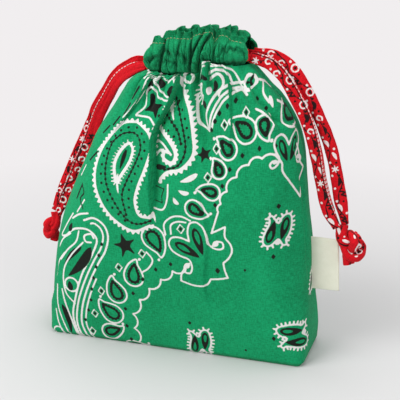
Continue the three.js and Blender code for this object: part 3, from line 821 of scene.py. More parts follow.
# The small paisleys of the border: round end, tip and whether it is mirrored
BORDER_PAISLEYS = [
    ((47, 146.5), (37.5, 153.5), True), ((37, 136.5), (30.5, 144), True), ((32.5, 124.5), (29, 132), True),
    ((28.5, 111.5), (19.5, 113.5), True), ((18, 101), (26.5, 96), True), ((57.5, 150), (60, 141.5), True),
    ((74, 153.5), (84, 148), True), ((-8.5, 79), (-1.5, 67.5), False), ((-22, 51), (-21.5, 63), False),
    ((-34, 37.5), (-38.5, 49), False), ((-38, 22), (-48, 30), False), ((-41, 8), (-31, 12), True),
    ((-26, -3), (-15, -1), True),
]
FRAMED_DIAMONDS = [
    (9.7, 87), (34, 150), (46, 156), (26, 120.5), (30, 137), (-16, 67.5), (-32, 56), (-45, 37.5), (-51, 20),
    (-54, 6),
]
BORDER_DIAMONDS = [
    (35, 160), (30, 156), (39, 162), (52, 162), (58, 157), (56, 138), (46, 134), (39, 126), (28, 152),
    (26, 147), (35, 116), (31, 104), (65, 139), (3, 63), (-7, 58), (-16, 50), (-23, 39), (-29, 27),
    (-29, 14), (-27, 4), (-47, -1),
]
DIAMOND_ROW = [(-43.5, 70), (-47, 57.5), (-50, 46), (-52, 37), (-53.5, 27), (-58.5, 14)]
STAR = [
    (0, 1), (0.3, 0.3), (1, 0.25), (0.45, -0.2), (0.6, -1), (0, -0.5), (-0.6, -1), (-0.45, -0.2),
    (-1, 0.25), (-0.3, 0.3),
]


def print_border(ink):
    """The row of small paisleys, diamonds and squares that curves down the middle of the face."""
    for at, tip, mirror in BORDER_PAISLEYS:
        small_paisley(ink, at, tip, mirror)
    for at in FRAMED_DIAMONDS:
        ink.diamond(at, 1.5, framed=True)
    for at in BORDER_DIAMONDS:
        ink.diamond(at, 1.75)
    for at in evenly(curve(DIAMOND_ROW), 8):
        ink.diamond(at, 1.6)
    scallops(ink, [(33, 100), (34.5, 105), (38, 113), (43.5, 122), (50, 129), (58, 133), (67, 133)], 0.22)
    scallops(ink, [(13, 61), (4, 58.5), (-4, 51.5), (-12, 44), (-19, 35), (-24, 24), (-24, 13), (-22, 2),
                   (-20, -8)], 0.22)
    ink.curves(
        BOLD,
        [(33, 100), (31, 93), (29, 86)],
        [(29, 86), (37.5, 91)],
        [(36.7, 67.6), (37.5, 63), (39.5, 58)],
        [(37.5, 91), (37.5, 84.5), (41, 80), (42, 76), (40, 71), (36.7, 67.6)],
        [(39.5, 58), (34, 56.5), (28.5, 55.5)],
        [(28.5, 55.5), (26, 51.5), (18, 50.5), (9.6, 52.5)],
        [(9.6, 52.5), (10, 57), (12, 61)],
        [(67, 133), (69.5, 130), (70, 126), (75, 119), (83, 108.5)],
        [(83, 108.5), (84, 118), (87.5, 125)],
        [(87.5, 125), (83.5, 129), (82, 134), (80, 138)],
    )
    ink.curves(
        LINE,
        [(0, 82), (-1, 89), (4, 94), (10, 95), (16, 93)],
        [(3.5, 83), (3.5, 89), (8, 91.5), (13, 91.5)],
        [(-13, 69), (-9, 64), (-12, 58), (-16, 55)],
    )
    flower(ink, (24, 70), 0.97, 42)
    flower(ink, (73.5, 130), 0.66, 2)
    ink.diamond((33, 62), 2.2)
    for at, size in (((-27.5, 72), 7.6), ((22.5, 133.5), 4.6)):
        ink.area(BLACK, curve(moved(STAR, at, size, 20), closed=True))
    for root, tip, width in (
        ((19.5, 122), (8.5, 116.5), 3.4), ((15, 110), (7.8, 111.5), 2.8), ((8.5, 102.5), (5, 107), 2.6),
    ):
        ink.leaf(WHITE, root, tip, width, 0.8)


WAVE = [
    (-56, 84), (-49, 86.5), (-42, 83), (-39, 76), (-41, 66), (-46, 57), (-51, 47), (-56, 35), (-60, 22),
    (-61, 10), (-57, -1),
]
INNER_WAVE = [
    (-72, 70), (-63, 77), (-53, 78), (-47, 73), (-50, 63), (-58, 48), (-64, 30), (-67, 16), (-64, 2),
    (-59, -5),
]


def print_waves(ink):
    """The stripes that sweep down the left, and the dark leaves beside them."""
    wave = curve(WAVE)
    ink.stroke(WHITE, wave, 1.3)
    ink.stroke(WHITE, beside(wave, -3.4)[4:], 1.2)
    ink.stroke(WHITE, beside(wave, 3.2)[58:], LINE)
    ink.curves(1.3, INNER_WAVE)
    ink.curves(1.2, [(-51, 70), (-55, 70), (-56, 73.5), (-51, 75.5), (-49, 73)])
    ink.leaf(BLACK, (-51, 67), (-69, 44), 6.5, 2.0)
    ink.leaf(BLACK, (-58, 66), (-72, 51), 4.0, -1.0)
    ink.curves(
        LINE,
        [(-60, 76), (-62, 69), (-69, 62), (-75, 54)],
        [(-57, 69), (-66, 59), (-72, 48), (-71, 32), (-65, 25)],
    )
    ink.ring(WHITE, (-66.5, 38.5), 4.8, 1.2)
    ink.leaf(BLACK, (-67, 34), (-68, 41), 4.0)
    ink.leaf(BLACK, (-75, 23), (-69.5, 1), 4.0, 1.5)
    ink.curves(LINE, [(-74, 34), (-72, 24), (-69, 14), (-66, 4), (-63, -4)])
    ink.curves(FINE, [(-78, 36), (-78, 22), (-74, 8), (-69, -4)], [(-80, 18), (-78, 8), (-74, -2)])
    ink.ring(WHITE, (-79, 2), 3.4, FINE)
    ink.curves(LINE, [(-66, 86), (-73, 76), (-77, 69), (-70, 71)])
    ink.leaf(BLACK, (-68.5, 74), (-66, 80), 3.6)
    ink.curves(LINE, [(-79, 60), (-75, 67), (-67, 73)])
    ink.curves(FINE, [(-79, 42), (-77, 52), (-72, 59)])
    ink.curves(1.2, [(-66, 83), (-60, 87), (-53, 89)])


# The outline round two paisleys that lie head to tail, drawn clockwise
DOUBLE_PAISLEY = [
    (0.4, 4.6), (1.8, 7), (4, 9.2), (6.6, 9.6), (8.2, 8), (8.6, 4.6), (8.2, 0.4), (6.8, -3.4), (5, -6.4),
    (5.6, -8.8), (3.6, -9.4), (1.8, -7), (0.4, -5.4), (-1.2, -6.6), (-3.6, -8.8), (-6, -9.4), (-8, -8),
    (-8.4, -4.8), (-7.2, -0.6), (-5.4, 3.4), (-4.8, 6.4), (-5.6, 8.6), (-3.8, 9.4), (-1.8, 7),
]
# The root and tip of the dark leaf in each, and of the bare leaf within it
DOUBLE_CORES = [
    ((-5.6, -7.6), (-1.8, 6.4), (-5.2, -6), (-3.5, 0.6)),
    ((5.8, 7.8), (2, -6), (5.4, 6), (3.7, -0.4)),
]
# Their places, turns and sizes
DOUBLE_PLACES = [((69, 90), 0, 1.0), ((20, 9), 12, 0.95), ((81, 21), 105, 1.05), ((102, 51), 0, 0.72)]
FIELD_DIAMONDS = [
    ((67, 74), 1.8), ((69, 105), 1.9), ((14, 23), 1.6), ((68, 19), 1.8), ((95, 17), 1.5), ((50, 64), 1.2),
    ((50, 8), 1.2),
]


def print_plain_field(ink):
    """Fringed double paisleys and diamonds, wide apart below the border."""
    for middle, turn, size in DOUBLE_PLACES:
        outline = curve(moved(DOUBLE_PAISLEY, middle, size, turn), closed=True)
        ink.stroke(WHITE, outline, LINE)
        ink.fringe(WHITE, outline, 1.9, 2.3, 1.2)
        for root, tip, bare_root, bare_tip in DOUBLE_CORES:
            ink.leaf(BLACK, *moved([root, tip], middle, size, turn), 5.2 * size)
            ink.leaf(BARE, *moved([bare_root, bare_tip], middle, size, turn), 2.2 * size)
    for at, size in FIELD_DIAMONDS:
        ink.diamond(at, size)


def print_cloth(across, height):
    ink = Print(across, height)
    print_waves(ink)
    print_swirl(ink)
    print_border(ink)
    print_plain_field(ink)
    print_big_paisleys(ink)
    return ink


def put_ink(obj, ink, tucked=0.0):
    """Gives a piece its print, but none where the cloth is tucked away."""
    for name, depth in ink.depth.items():
        put_attribute(obj, name, depth - 2 * INK_MARGIN * tucked)


ROW_PITCH, UNDER_ROWS = 0.72, 14


def make_bag_side(name, face, columns, folds, valleys, seed):
    wall = np.linspace(0.0, NECK_HEIGHT, int(NECK_HEIGHT / ROW_PITCH) + 1)
    under = -np.linspace(0, BASE_HALF_DEPTH, UNDER_ROWS + 1)[1:][::-1]
    heights = np.concatenate([under, wall])
    points, across, height, steep = bag_sheet(face, columns, heights, folds, valleys, seed)
    faces = grid_faces(len(heights), columns, flip=face > 0)
    obj = mesh_object(name, points, faces, PRINTED_COTTON)
    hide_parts("pouch_body")
    # The back is cut from the same cloth, turned over
    put_ink(obj, print_cloth(-face * across, height), steep)
    put_threads(obj, across, height)


# The grooves of a casing: x at the seam, half way up, at the stitches and at the top, depth and half width
FRONT_GROOVES = [
    (-19.5, -18.5, -14.0, -12.5, 2.4, 1.4),
    (-9.5, -7.4, -6.4, -6.0, 4.4, 1.7),
    (-5.0, -3.4, -3.0, -3.0, 1.2, 0.8),
    (0.6, 2.4, 3.8, 4.2, 2.2, 1.2),
    (6.5, 7.2, 7.0, 6.6, 1.5, 0.8),
    (9.8, 10.4, 10.6, 10.0, 4.4, 1.2),
    (8.0, 12.8, 17.4, 19.4, 4.4, 1.3),
    (14.0, 18.4, 22.8, 24.6, 4.8, 1.6),
    (24.0, 25.4, 26.6, 26.6, 2.2, 0.9),
]
# Creases across them: x and z of one end and of the other, depth and half width
FRONT_CREASES = [
    (27.0, 184.6, 41.5, 186.8, 3.6, 1.7),
    (15.0, 186.5, 21.5, 196.0, -1.6, 1.5),
    (-15.5, 183.0, -9.0, 189.5, 2.4, 1.4),
    (-6.0, 193.5, -0.5, 188.0, 2.2, 1.3),
    (-4.0, 186.0, 1.5, 183.5, 2.0, 1.2),
    (3.5, 191.0, 8.5, 186.0, 2.0, 1.3),
    (28.0, 199.0, 34.0, 190.0, 1.4, 1.8),
    (33.0, 196.5, 41.0, 191.5, 1.6, 1.3),
]
FRONT_RUFFLES = [-16, -11, -6, 0.3, 4.8, 10, 13.6, 17.3, 21, 24.7, 28, 33.5, 38, 43.5]
BACK_GROOVES = [
    (-18.5, -18.0, -14.5, -13.0, 2.4, 1.4),
    (-11.0, -9.6, -8.0, -8.0, 4.0, 1.4),
    (-4.5, -3.5, -4.4, -4.0, 2.0, 1.0),
    (0.5, 1.0, -0.5, -1.0, 3.6, 1.2),
    (5.5, 4.6, 4.2, 4.0, 2.2, 1.0),
    (12.0, 10.0, 9.0, 8.5, 4.0, 1.3),
    (16.0, 16.2, 15.4, 14.8, 2.0, 1.0),
    (20.5, 22.0, 21.5, 21.0, 4.2, 1.3),
    (25.5, 26.6, 27.4, 27.0, 2.0, 1.0),
    (31.0, 30.0, 32.5, 33.0, 3.8, 1.4),
    (38.5, 38.0, 37.5, 38.0, 2.0, 1.2),
]
BACK_CREASES = [(-6.0, 183.0, 6.0, 185.0, 2.0, 1.2), (22.0, 184.0, 31.0, 186.5, 2.2, 1.2)]
BACK_RUFFLES = [-16, -12, -8, -4, -0.5, 4, 8.5, 12, 16, 21, 25, 29, 33, 38, 43.5]
FRONT_FRILL = [
    (-20, 190), (-16.5, 193.5), (-14, 199.4), (-12.5, 200.4), (-8, 200.2), (-6.3, 199.2), (-5.2, 203.4),
    (-3, 204.6), (4, 204.2), (9, 204.4), (12, 206.4), (15.2, 208.4), (17.2, 206.6), (18.6, 207.8),
    (22.6, 207.8), (24.2, 205), (25, 202.4), (26.4, 204.6), (29.2, 206.6), (32.6, 206.4), (34, 204.4),
    (38.5, 202.6), (42, 200.4), (43.6, 196), (45, 191),
]
BACK_FRILL = [
    (-20, 190), (-16.5, 193.5), (-14, 198.6), (-11, 199.8), (-8, 199), (-6, 201.8), (-1, 203), (1, 201.6),
    (5, 204.4), (9, 203.2), (14, 205.2), (20, 204.6), (22, 203), (27, 205.4), (31, 205), (33, 202.8),
    (38, 202.8), (42, 200), (43.6, 196), (45, 191),
]
STITCH_DROP = 5.2  # from the frill's edge down to its stitches


def neck_place(face, x, out):
    """The point beside the neck's path at a place along it. Past the straight stretch x runs on round the
    end."""
    way = x - NECK_OFFSET
    side = np.sign(way)
    turn = np.maximum(np.abs(way) - NECK_STRAIGHT, 0) / NECK_RADIUS
    straight = np.minimum(np.abs(way), NECK_STRAIGHT)
    px = NECK_OFFSET + side * (straight + (NECK_RADIUS + out) * np.sin(turn))
    py = face * (NECK_RADIUS + out) * np.cos(turn)
    return px, py


STITCH_LENGTH, STITCH_GAP, THREAD_RADIUS = 1.9, 0.45, 0.2
STITCH_RINGS, STITCH_SIDES = 8, 6
STITCH_MARGIN = 8  # columns of the casing without stitches at each end


def seam_stitches(name, line, centre):
    """The row of stitches under a casing's frill, which holds it round the drawstring. Each is a short thread
    that dips into the cloth at its ends."""
    sewn = slice(STITCH_MARGIN, -STITCH_MARGIN)
    line = line[sewn]
    out = line - centre[sewn]
    out[:, 2] *= 0.2
    out /= np.linalg.norm(out, axis=1, keepdims=True)
    count = int(length_of(line) / (STITCH_LENGTH + STITCH_GAP))
    fine = evenly(np.hstack([line, line + out]), count * (STITCH_RINGS + 2))
    bow = np.sin(np.linspace(0, math.pi, STITCH_RINGS)) ** 0.5
    points, faces = [], []
    for k in range(count):
        part = fine[k * (STITCH_RINGS + 2):][:STITCH_RINGS]
        middle = part[:, :3] + (part[:, 3:] - part[:, :3]) * (0.55 * bow - 0.25)[:, None]
        way = np.gradient(middle, axis=0)
        way /= np.linalg.norm(way, axis=1, keepdims=True)
        side = np.cross(way, part[:, 3:] - part[:, :3])
        side /= np.linalg.norm(side, axis=1, keepdims=True)
        over = np.cross(side, way)
        first = len(points)
        last = first + (STITCH_RINGS - 1) * STITCH_SIDES
        for i in range(STITCH_RINGS):
            radius = THREAD_RADIUS * (0.35 + 0.65 * bow[i])
            for angle in np.linspace(0, 2 * math.pi, STITCH_SIDES, endpoint=False):
                points.append(middle[i] + radius * (math.cos(angle) * side[i] + math.sin(angle) * over[i]))
        faces += grid_faces(STITCH_RINGS, STITCH_SIDES, wrap=True, first=first)
        faces += [tuple(range(first, first + STITCH_SIDES))[::-1], tuple(range(last, last + STITCH_SIDES))]
    obj = mesh_object(name, points, faces, SEWING_THREAD)
    put_threads(obj, np.zeros(len(points)), np.zeros(len(points)))


def crease_depth(creases, x, z):
    """Grooves that run across the pleats, each from one (x, z) to another."""
    total = np.zeros(x.shape)
    for ax, az, bx, bz, depth, width in creases:
        line = curve([(ax, az), ((ax + bx) / 2, (az + bz) / 2 + 1.0), (bx, bz)])
        far, _, share = nearest_on(line, x, z)
        total += depth * np.exp(-((far / width) ** 2)) * np.sin(math.pi * np.clip(share, 0.03, 0.97)) ** 0.4
    return total


def turned_mouth(points, end, way):
    """The rings that turn a casing's end in round the mouth of its channel."""
    ring = points[end]
    middle = ring.mean(axis=0)
    out = middle - points[end - way * 3].mean(axis=0)
    out /= np.linalg.norm(out)
    hole = middle + (ring - middle) * np.array([0.72, 0.72, 0.8])
    rim = [ring + out * push + (hole - ring) * share for push, share in ((0.5, 0.12), (0.8, 0.4), (0.6, 0.7))]
    return rim + [hole, hole - out * 3.0, hole - out * 6.0]


CASING_WALL, OUTER_BULGE, INNER_BULGE, FRILL_WAVE = 1.3, 5.8, 3.2, 2.6


def make_casing(name, node, face, grooves, creases, ruffles, frill, seed):
    columns, outer_rows, inner_rows, under_rows = 420, 52, 36, 8
    levels = np.array([0.0, 0.5, 0.82, 1.0])
    x = np.linspace(NECK_OFFSET - CASING_REACH, NECK_OFFSET + CASING_REACH, columns)[:, None]
    up = np.concatenate([
        np.linspace(0, 1, outer_rows), np.linspace(1, 0, inner_rows)[1:], np.zeros(under_rows),
    ])
    ring = len(up)
    layer = np.concatenate([np.ones(outer_rows), -np.ones(inner_rows - 1), np.zeros(under_rows)])
    under = np.linspace(-1, 1, under_rows + 2)[1:-1]
    fall = smoothstep(np.abs(x - NECK_OFFSET), 19.0, CASING_REACH)
    lift = seam_rise(face, x) * 0.75
    seam = tilted(NECK_HEIGHT, x) + 0.3
    top = value_at(frill, x)
    stitch = top - STITCH_DROP * (1 - 0.45 * fall)
    z = seam + lift * (1 - up) + up * (top - seam)
    to_stitch = np.clip((z - seam - lift * (1 - up)) / (stitch - seam), 0, 1)
    body = np.sin(math.pi * to_stitch) ** 0.6
    flare = np.clip((z - stitch) / (top - stitch), 0, 1)
    groove = np.zeros(z.shape)
    pulled = np.zeros(z.shape)
    for row in grooves:
        away = x - np.interp(up, levels, row[:4])
        dip = np.exp(-((away / row[5]) ** 2))
        groove += row[4] * dip
        pulled -= 0.55 * away * np.exp(-((away / (row[5] * 1.6)) ** 2))
    groove += crease_depth(creases, np.broadcast_to(x, z.shape), z)
    halves = [v + s for v, w in zip(ruffles, ruffles[1:]) for s in (0.45 * (w - v), w - v)]
    fine = pleats(np.array(ruffles[:1] + halves), x, 0.8)
    ruffle = (pleats(ruffles, x, 0.7) * 2 - 1.1) * (1 - fall)
    drawn = np.stack([x * np.ones(z.shape), z * 0.28, np.zeros(z.shape)], axis=2).reshape(-1, 3)
    wrinkle = 1 - np.minimum(np.abs(ripple(drawn, 2.6, seed + 6)) * 4, 1)
    groove += 1.5 * wrinkle.reshape(z.shape) ** 2
    outer = CASING_WALL + OUTER_BULGE * body - groove * (0.3 + 0.7 * body) * (1 - 0.55 * flare)
    outer += 1.5 * (fine - 0.5) * np.exp(-((up / 0.3) ** 2)) * (0.5 + 0.5 * body)
    # No groove is so deep that it reaches the drawstring inside
    outer = np.maximum(outer, 0.3 + 2.8 * body) + flare ** 1.3 * FRILL_WAVE * ruffle
    inner = -CASING_WALL - INNER_BULGE * body + 0.5 * groove * body + flare ** 1.3 * FRILL_WAVE * ruffle
    inner = np.minimum(inner, outer - 1.5)
    out = np.where(layer > 0, outer, inner)
    out[:, layer == 0] = -1.2 * under
    z[:, layer == 0] = seam + lift - 0.6 * (1 - under ** 2)
    px, py = neck_place(face, x + np.where(layer > 0, pulled, 0.0), out)
    points = np.stack([px, py, z], axis=2)
    # One pass of softening, so that no crease is sharper than cloth
    points[1:-1] = 0.2 * points[:-2] + 0.6 * points[1:-1] + 0.2 * points[2:]
    points = 0.15 * np.roll(points, 1, axis=1) + 0.7 * points + 0.15 * np.roll(points, -1, axis=1)
    flat = points.reshape(-1, 3)
    wobble = ripple(flat, 8.0, seed) * 0.8 + ripple(flat, 3.4, seed + 2) * 0.34
    away = points - points.mean(axis=1, keepdims=True)
    away[:, :, 2] *= 0.2
    away /= np.maximum(np.linalg.norm(away, axis=2, keepdims=True), 1e-6)
    points = (flat + away.reshape(-1, 3) * wobble[:, None]).reshape(points.shape)
    stitched = points[:, np.argmin(np.abs(up[:outer_rows] - 0.8))]
    seam_stitches(name.replace("gathered", "stitches"), stitched, points.mean(axis=1))
    first, last = turned_mouth(points, 0, -1)[::-1], turned_mouth(points, columns - 1, 1)
    grid = np.concatenate([np.array(first), points, np.array(last)])
    faces = grid_faces(len(grid), ring, wrap=True, flip=face < 0)
    obj = mesh_object(name, grid.reshape(-1, 3), faces, PLAIN_COTTON)
    # Painted shade: how deep each point lies in a groove, and how far up the frill's inner side it is, which
    # darkens the plain cotton
    fold_shade = np.zeros(grid.shape[:2])
    fold_shade[len(first): -len(last)] = np.where(layer > 0, groove * (0.35 + 0.65 * body), 2.0 * flare)
    put_attribute(obj, "painted_shade_depth", fold_shade)
    way = np.linspace(0, 2 * CASING_REACH, len(grid))
    put_threads(obj, np.repeat(way, ring), np.tile(np.linspace(0, 62, ring), len(grid)))
    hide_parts(node)


TAPE_WIDTH, TAPE_THICKNESS = 8.4, 2.7
HIDDEN_WIDTH, HIDDEN_THICKNESS = 4.8, 1.5  # in the casings
END_SHARE = 0.07  # the share of a strand over which it narrows to its end


def tape_frames(line):
    """The directions of a hanging tape's thickness and width at each point of its middle line."""
    way = np.gradient(line, axis=0)
    way /= np.linalg.norm(way, axis=1, keepdims=True)
    thin = np.cross([0, 0, 1.0], way)
    thin /= np.linalg.norm(thin, axis=1, keepdims=True)
    return thin, np.cross(way, thin)


def blunt(value, power):
    """A sine or cosine changed so that it draws a rounded bar rather than a circle."""
    return np.sign(value) * np.abs(value) ** power


def tube(name, points, line, coarse, fine, seed):
    """A closed tube of rings round a line. Its surface is uneven by two (scale, size) of noise."""
    rings, around = points.shape[:2]
    flat = points.reshape(-1, 3)
    away = flat - np.repeat(line, around, axis=0)
    away /= np.linalg.norm(away, axis=1, keepdims=True)
    uneven = ripple(flat, coarse[0], seed) * coarse[1] + ripple(flat, fine[0], seed + 4) * fine[1]
    flat = flat + away * uneven[:, None]
    caps, last = len(flat), (rings - 1) * around
    flat = np.vstack([flat, line[:1], line[-1:]])
    faces = grid_faces(rings, around, wrap=True, flip=True)
    faces += [(caps, k, (k + 1) % around) for k in range(around)]
    faces += [(caps + 1, last + (k + 1) % around, last + k) for k in range(around)]
    return mesh_object(name, flat, faces, RED_COTTON)


def make_strand(name, route, width, thickness, seed, rings=380, around=64, pinch=0.0):
    line = evenly(spline(route, 0.5), rings)
    thin, wide = tape_frames(line)
    share = np.linspace(0, 1, rings)
    roll = 0.22 * np.sin(share * 5.3 + seed) + 0.12 * np.sin(share * 13.0 + seed * 2)
    angle = np.linspace(0, 2 * math.pi, around, endpoint=False)
    points = np.zeros((rings, around, 3))
    across = np.zeros((rings, around))
    for i in range(rings):
        squeeze = 1 - pinch * hump(share[i], 0, END_SHARE) - 0.4 * hump(share[i], 1, END_SHARE)
        a = width / 2 * squeeze * (1 + 0.05 * math.sin(share[i] * 21 + seed))
        b = thickness / 2 * (1 + 0.5 * (1 - squeeze)) * (1 + 0.12 * math.sin(share[i] * 16 + 1.7 * seed))
        cw = blunt(np.cos(angle), 0.7) * a
        ct = blunt(np.sin(angle), 0.5) * b
        # One edge is folded and full, the other is two layers with a groove between them
        groove = np.exp(-((ct / (0.28 * thickness)) ** 2)) * (cw > 0) * smoothstep(cw, 0.75 * a, a) * 0.9
        cw = cw - groove
        # The stitches pull a shallow line near that edge, and soft creases run down the tape
        ct = ct * (1 - 0.35 * hump(cw, 0.62 * a, 0.5))
        ct = ct * (1 - 0.38 * hump(cw, -0.2 * a + 0.9 * math.sin(share[i] * 9 + seed), 0.6))
        ct = ct * (1 - 0.22 * hump(cw, 0.3 * a + 0.8 * math.sin(share[i] * 14 + 2 * seed), 0.5))
        c, s = math.cos(roll[i]), math.sin(roll[i])
        points[i] = line[i] + np.outer(cw * c - ct * s, wide[i]) + np.outer(cw * s + ct * c, thin[i])
        across[i] = np.where(ct >= 0, cw + width, -cw - width)
    obj = tube(name, points, line, (7.0, 0.28), (2.6, 0.08), seed)
    along = np.append(np.repeat(share * length_of(line), around), [0.0, length_of(line)])
    return obj, line, along, np.append(across.ravel(), [width, width])


def make_knot(name, node, route, width, thickness, seed, printed):
    line = evenly(spline(route, 0.4), 260)
    rings, around = len(line), 48
    tangent = np.gradient(line, axis=0)
    tangent /= np.linalg.norm(tangent, axis=1, keepdims=True)
    wide = np.zeros_like(line)
    start = np.cross(tangent[0], [0, 1.0, 0])
    wide[0] = start / np.linalg.norm(start)
    for i in range(1, rings):
        w = wide[i - 1] - tangent[i] * (wide[i - 1] @ tangent[i])
        wide[i] = w / np.linalg.norm(w)
    thin = np.cross(tangent, wide)
    angle = np.linspace(0, 2 * math.pi, around, endpoint=False)
    points = np.zeros((rings, around, 3))
    for i in range(rings):
        t = i / (rings - 1)
        a = width / 2 * (1 + 0.1 * math.sin(t * 23 + seed))
        cw = blunt(np.cos(angle), 0.85) * a
        ct = blunt(np.sin(angle), 0.8) * (thickness / 2 * (1 + 0.12 * math.sin(t * 31 + seed)))
        # Two tapes lie side by side, so the bundle has a groove down each broad side
        ct = ct * (1 - 0.34 * hump(cw, 0.15 * a * math.sin(t * 11 + seed), 0.26 * a))
        points[i] = line[i] + np.outer(cw, wide[i]) + np.outer(ct, thin[i])
    obj = tube(name, points, line, (4.0, 0.35), (1.8, 0.12), seed)
    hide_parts(node)
    length = length_of(line)
    along = np.append(np.repeat(np.linspace(0, length, rings), around), [0.0, length])
    turn = np.append(np.tile(np.abs(angle - math.pi) * width / 2 - width * 0.8, rings), [0.0, 0.0])
    ink = Print(along, turn)
    if printed:
        print_tape(ink, length, seed, 0, False)
    put_ink(obj, ink)
    put_threads(obj, along, turn)
    return obj


def knot_route(start, middle, unit, outward, lean):
    def place(u, v, w):
        return (
            middle[0] + outward * unit * (u * math.cos(lean) - v * math.sin(lean)),
            middle[1] + w * unit * 1.25,
            middle[2] + unit * (u * math.sin(lean) + v * math.cos(lean)),
        )

    # A trefoil, opened where the two ends leave it
    route = [start, place(-1.35, 2.7, -0.75)]
    for degrees in range(495, 224, -15):
        t = math.radians(degrees)
        u, v = math.cos(t) - 2 * math.cos(2 * t), -(math.sin(t) + 2 * math.sin(2 * t))
        route.append(place(u, v, -math.sin(3 * t)))
    return route + [place(-1.5, -2.3, 0.8), place(-1.6, -3.6, 0.5), place(-1.7, -4.9, 0.3)]


def make_knots():
    right_route = knot_route((102.6, 0, 88.5), (108.2, 1.2, 75.4), 2.45, 1, 0.3)
    left_route = knot_route((-92.6, 9, 73.0), (-95.6, 8.2, 61.6), 1.75, -1, 0.25)
    return (
        make_knot("right_knot_tied", "right_knot", right_route, 7.8, 5.6, 3, True),
        make_knot("left_knot_tied", "left_knot", left_route, 6.6, 5.2, 8, False),
    )


def make_strings():
    """The drawstrings: four hanging strands, which are returned with their places on the tape, and the two
    runs in the casings."""
    a, b = CASING_TURN_FIRST, CASING_TURN_LAST
    strands = []
    right_knot, left_knot = make_knots()
    for side, route, knot_piece, node, seed in (
        ("right", RIGHT_ROUTE, right_knot, "right_drawstring", 1),
        ("left", LEFT_ROUTE, left_knot, "left_drawstring", 5),
    ):
        for part, points in (("front", route[: a + 1][::-1]), ("back", route[b:])):
            obj, line, s, w = make_strand(
                f"{side}_{part}_strand", points, TAPE_WIDTH, TAPE_THICKNESS, seed, pinch=0.25)
            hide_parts(node)
            strands.append((obj, s, w))
            seed += 1
        hidden, _, s, w = make_strand(
            f"{side}_string_in_casing", route[a: b + 1], HIDDEN_WIDTH, HIDDEN_THICKNESS, seed + 9, 260, 24)
        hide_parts(node)
        put_ink(hidden, Print(s, w))
        put_threads(hidden, s, w)
    return strands


def print_tape(ink, length, seed, plain, stitched):
    """White and black scribbles along a tape, which is bare over its first stretch. A stitched edge shows
    on some."""
    rng = np.random.default_rng(seed)
    s = np.linspace(plain, length, 50)
    ink.stroke(BLACK, np.column_stack([s, 2.2 * np.sin(s / 4.6 + seed) + 0.7 * np.sin(s / 1.6)]), 0.8)
    for at in np.arange(plain + 3.0, length - 2.0, 8.2):
        lean, kind = rng.uniform(-2.2, 2.2), rng.integers(6)
        here = np.array([at, lean])
        if kind == 0:
            ink.ring(WHITE, here, 2.1, 0.9)
            ink.dot(BLACK, here, 0.8)
        elif kind == 1:
            ink.leaf(WHITE, here + (-2.6, -0.9), here + (2.8, 1.0), 2.2, 0.5)
        elif kind == 2:
            ink.curves(0.95, here + [(1.6, 1.6), (0, 2), (-1.6, 0), (0, -1.6), (1.4, -0.4)])
        elif kind == 3:
            ink.stroke(BLACK, here + [(-2.4, -1.8), (-1.2, 1.4), (0, -1.2), (1.4, 1.8)], 1.0)
        elif kind == 4:
            ink.star(WHITE, here, 2.0, 6, lean)
        else:
            ink.leaf(BLACK, (at - 3.0, lean), (at + 3.0, -lean * 0.4), 2.4, 0.8)
        ink.dot(WHITE, (at + 3.8, 2.4 * np.sign(-lean)), 0.75)
        ink.dot(BLACK, (at + 4.2, 1.6 * np.sign(lean)), 0.7)
    if stitched:
        for at in np.arange(1.0, length, 2.6):
            ink.stroke(WHITE, [(at, 3.3), (at + 1.5, 3.3)], 0.4)
        ink.stroke(BLACK, [(plain, 2.4), (length, 2.4)], 0.55)


# Of each strand: where its print begins, and whether its stitched edge shows
STRAND_PRINTS = [(0, True), (0, False), (72, True), (64, False)]
for (obj, s, w), (plain, stitched) in zip(make_strings(), STRAND_PRINTS):
    ink = Print(s, np.abs(w) - TAPE_WIDTH)
    print_tape(ink, float(s.max()), 11 + plain, plain, stitched)
    put_ink(obj, ink)
    put_threads(obj, s, w)

make_bag_side("bag_front", -1, 300, FRONT_FOLDS, FRONT_VALLEYS, 2)
make_bag_side("bag_back", 1, 240, BACK_FOLDS, BACK_VALLEYS, 6)

make_casing(
    "front_casing_gathered", "front_casing", -1, FRONT_GROOVES, FRONT_CREASES, FRONT_RUFFLES, FRONT_FRILL, 4)
make_casing("back_casing_gathered", "back_casing", 1, BACK_GROOVES, BACK_CREASES, BACK_RUFFLES, BACK_FRILL, 9)


LABEL_RIBS = 14.0  # radians of rib for each mm
LABEL_WIDTH, LABEL_HEIGHT, LABEL_BOTTOM, LABEL_LAYER = 17.0, 34.0, 45.0, 0.5


def label_material():
    n = Nodes("woven_label")
    ribs = n.math("MULTIPLY", n.attribute("thread_along"), LABEL_RIBS)
    rib = n.math("ADD", n.math("MULTIPLY", n.math("SINE", ribs), 0.5), 0.5)
    shade = n.spread(n.math("ADD", rib, n.noise(300.0)), 0.5, 1.5, 0.0, 1.0)
    n.link(n.mix(shade, srgb(232, 231, 211), srgb(244, 243, 226)), n.shader.inputs["Base Color"])
    n.shader.inputs["Roughness"].default_value = 0.8
    n.shader.inputs["Sheen Weight"].default_value = 0.1
    n.bump(rib, 0.0001, 0.7)
    return n.material


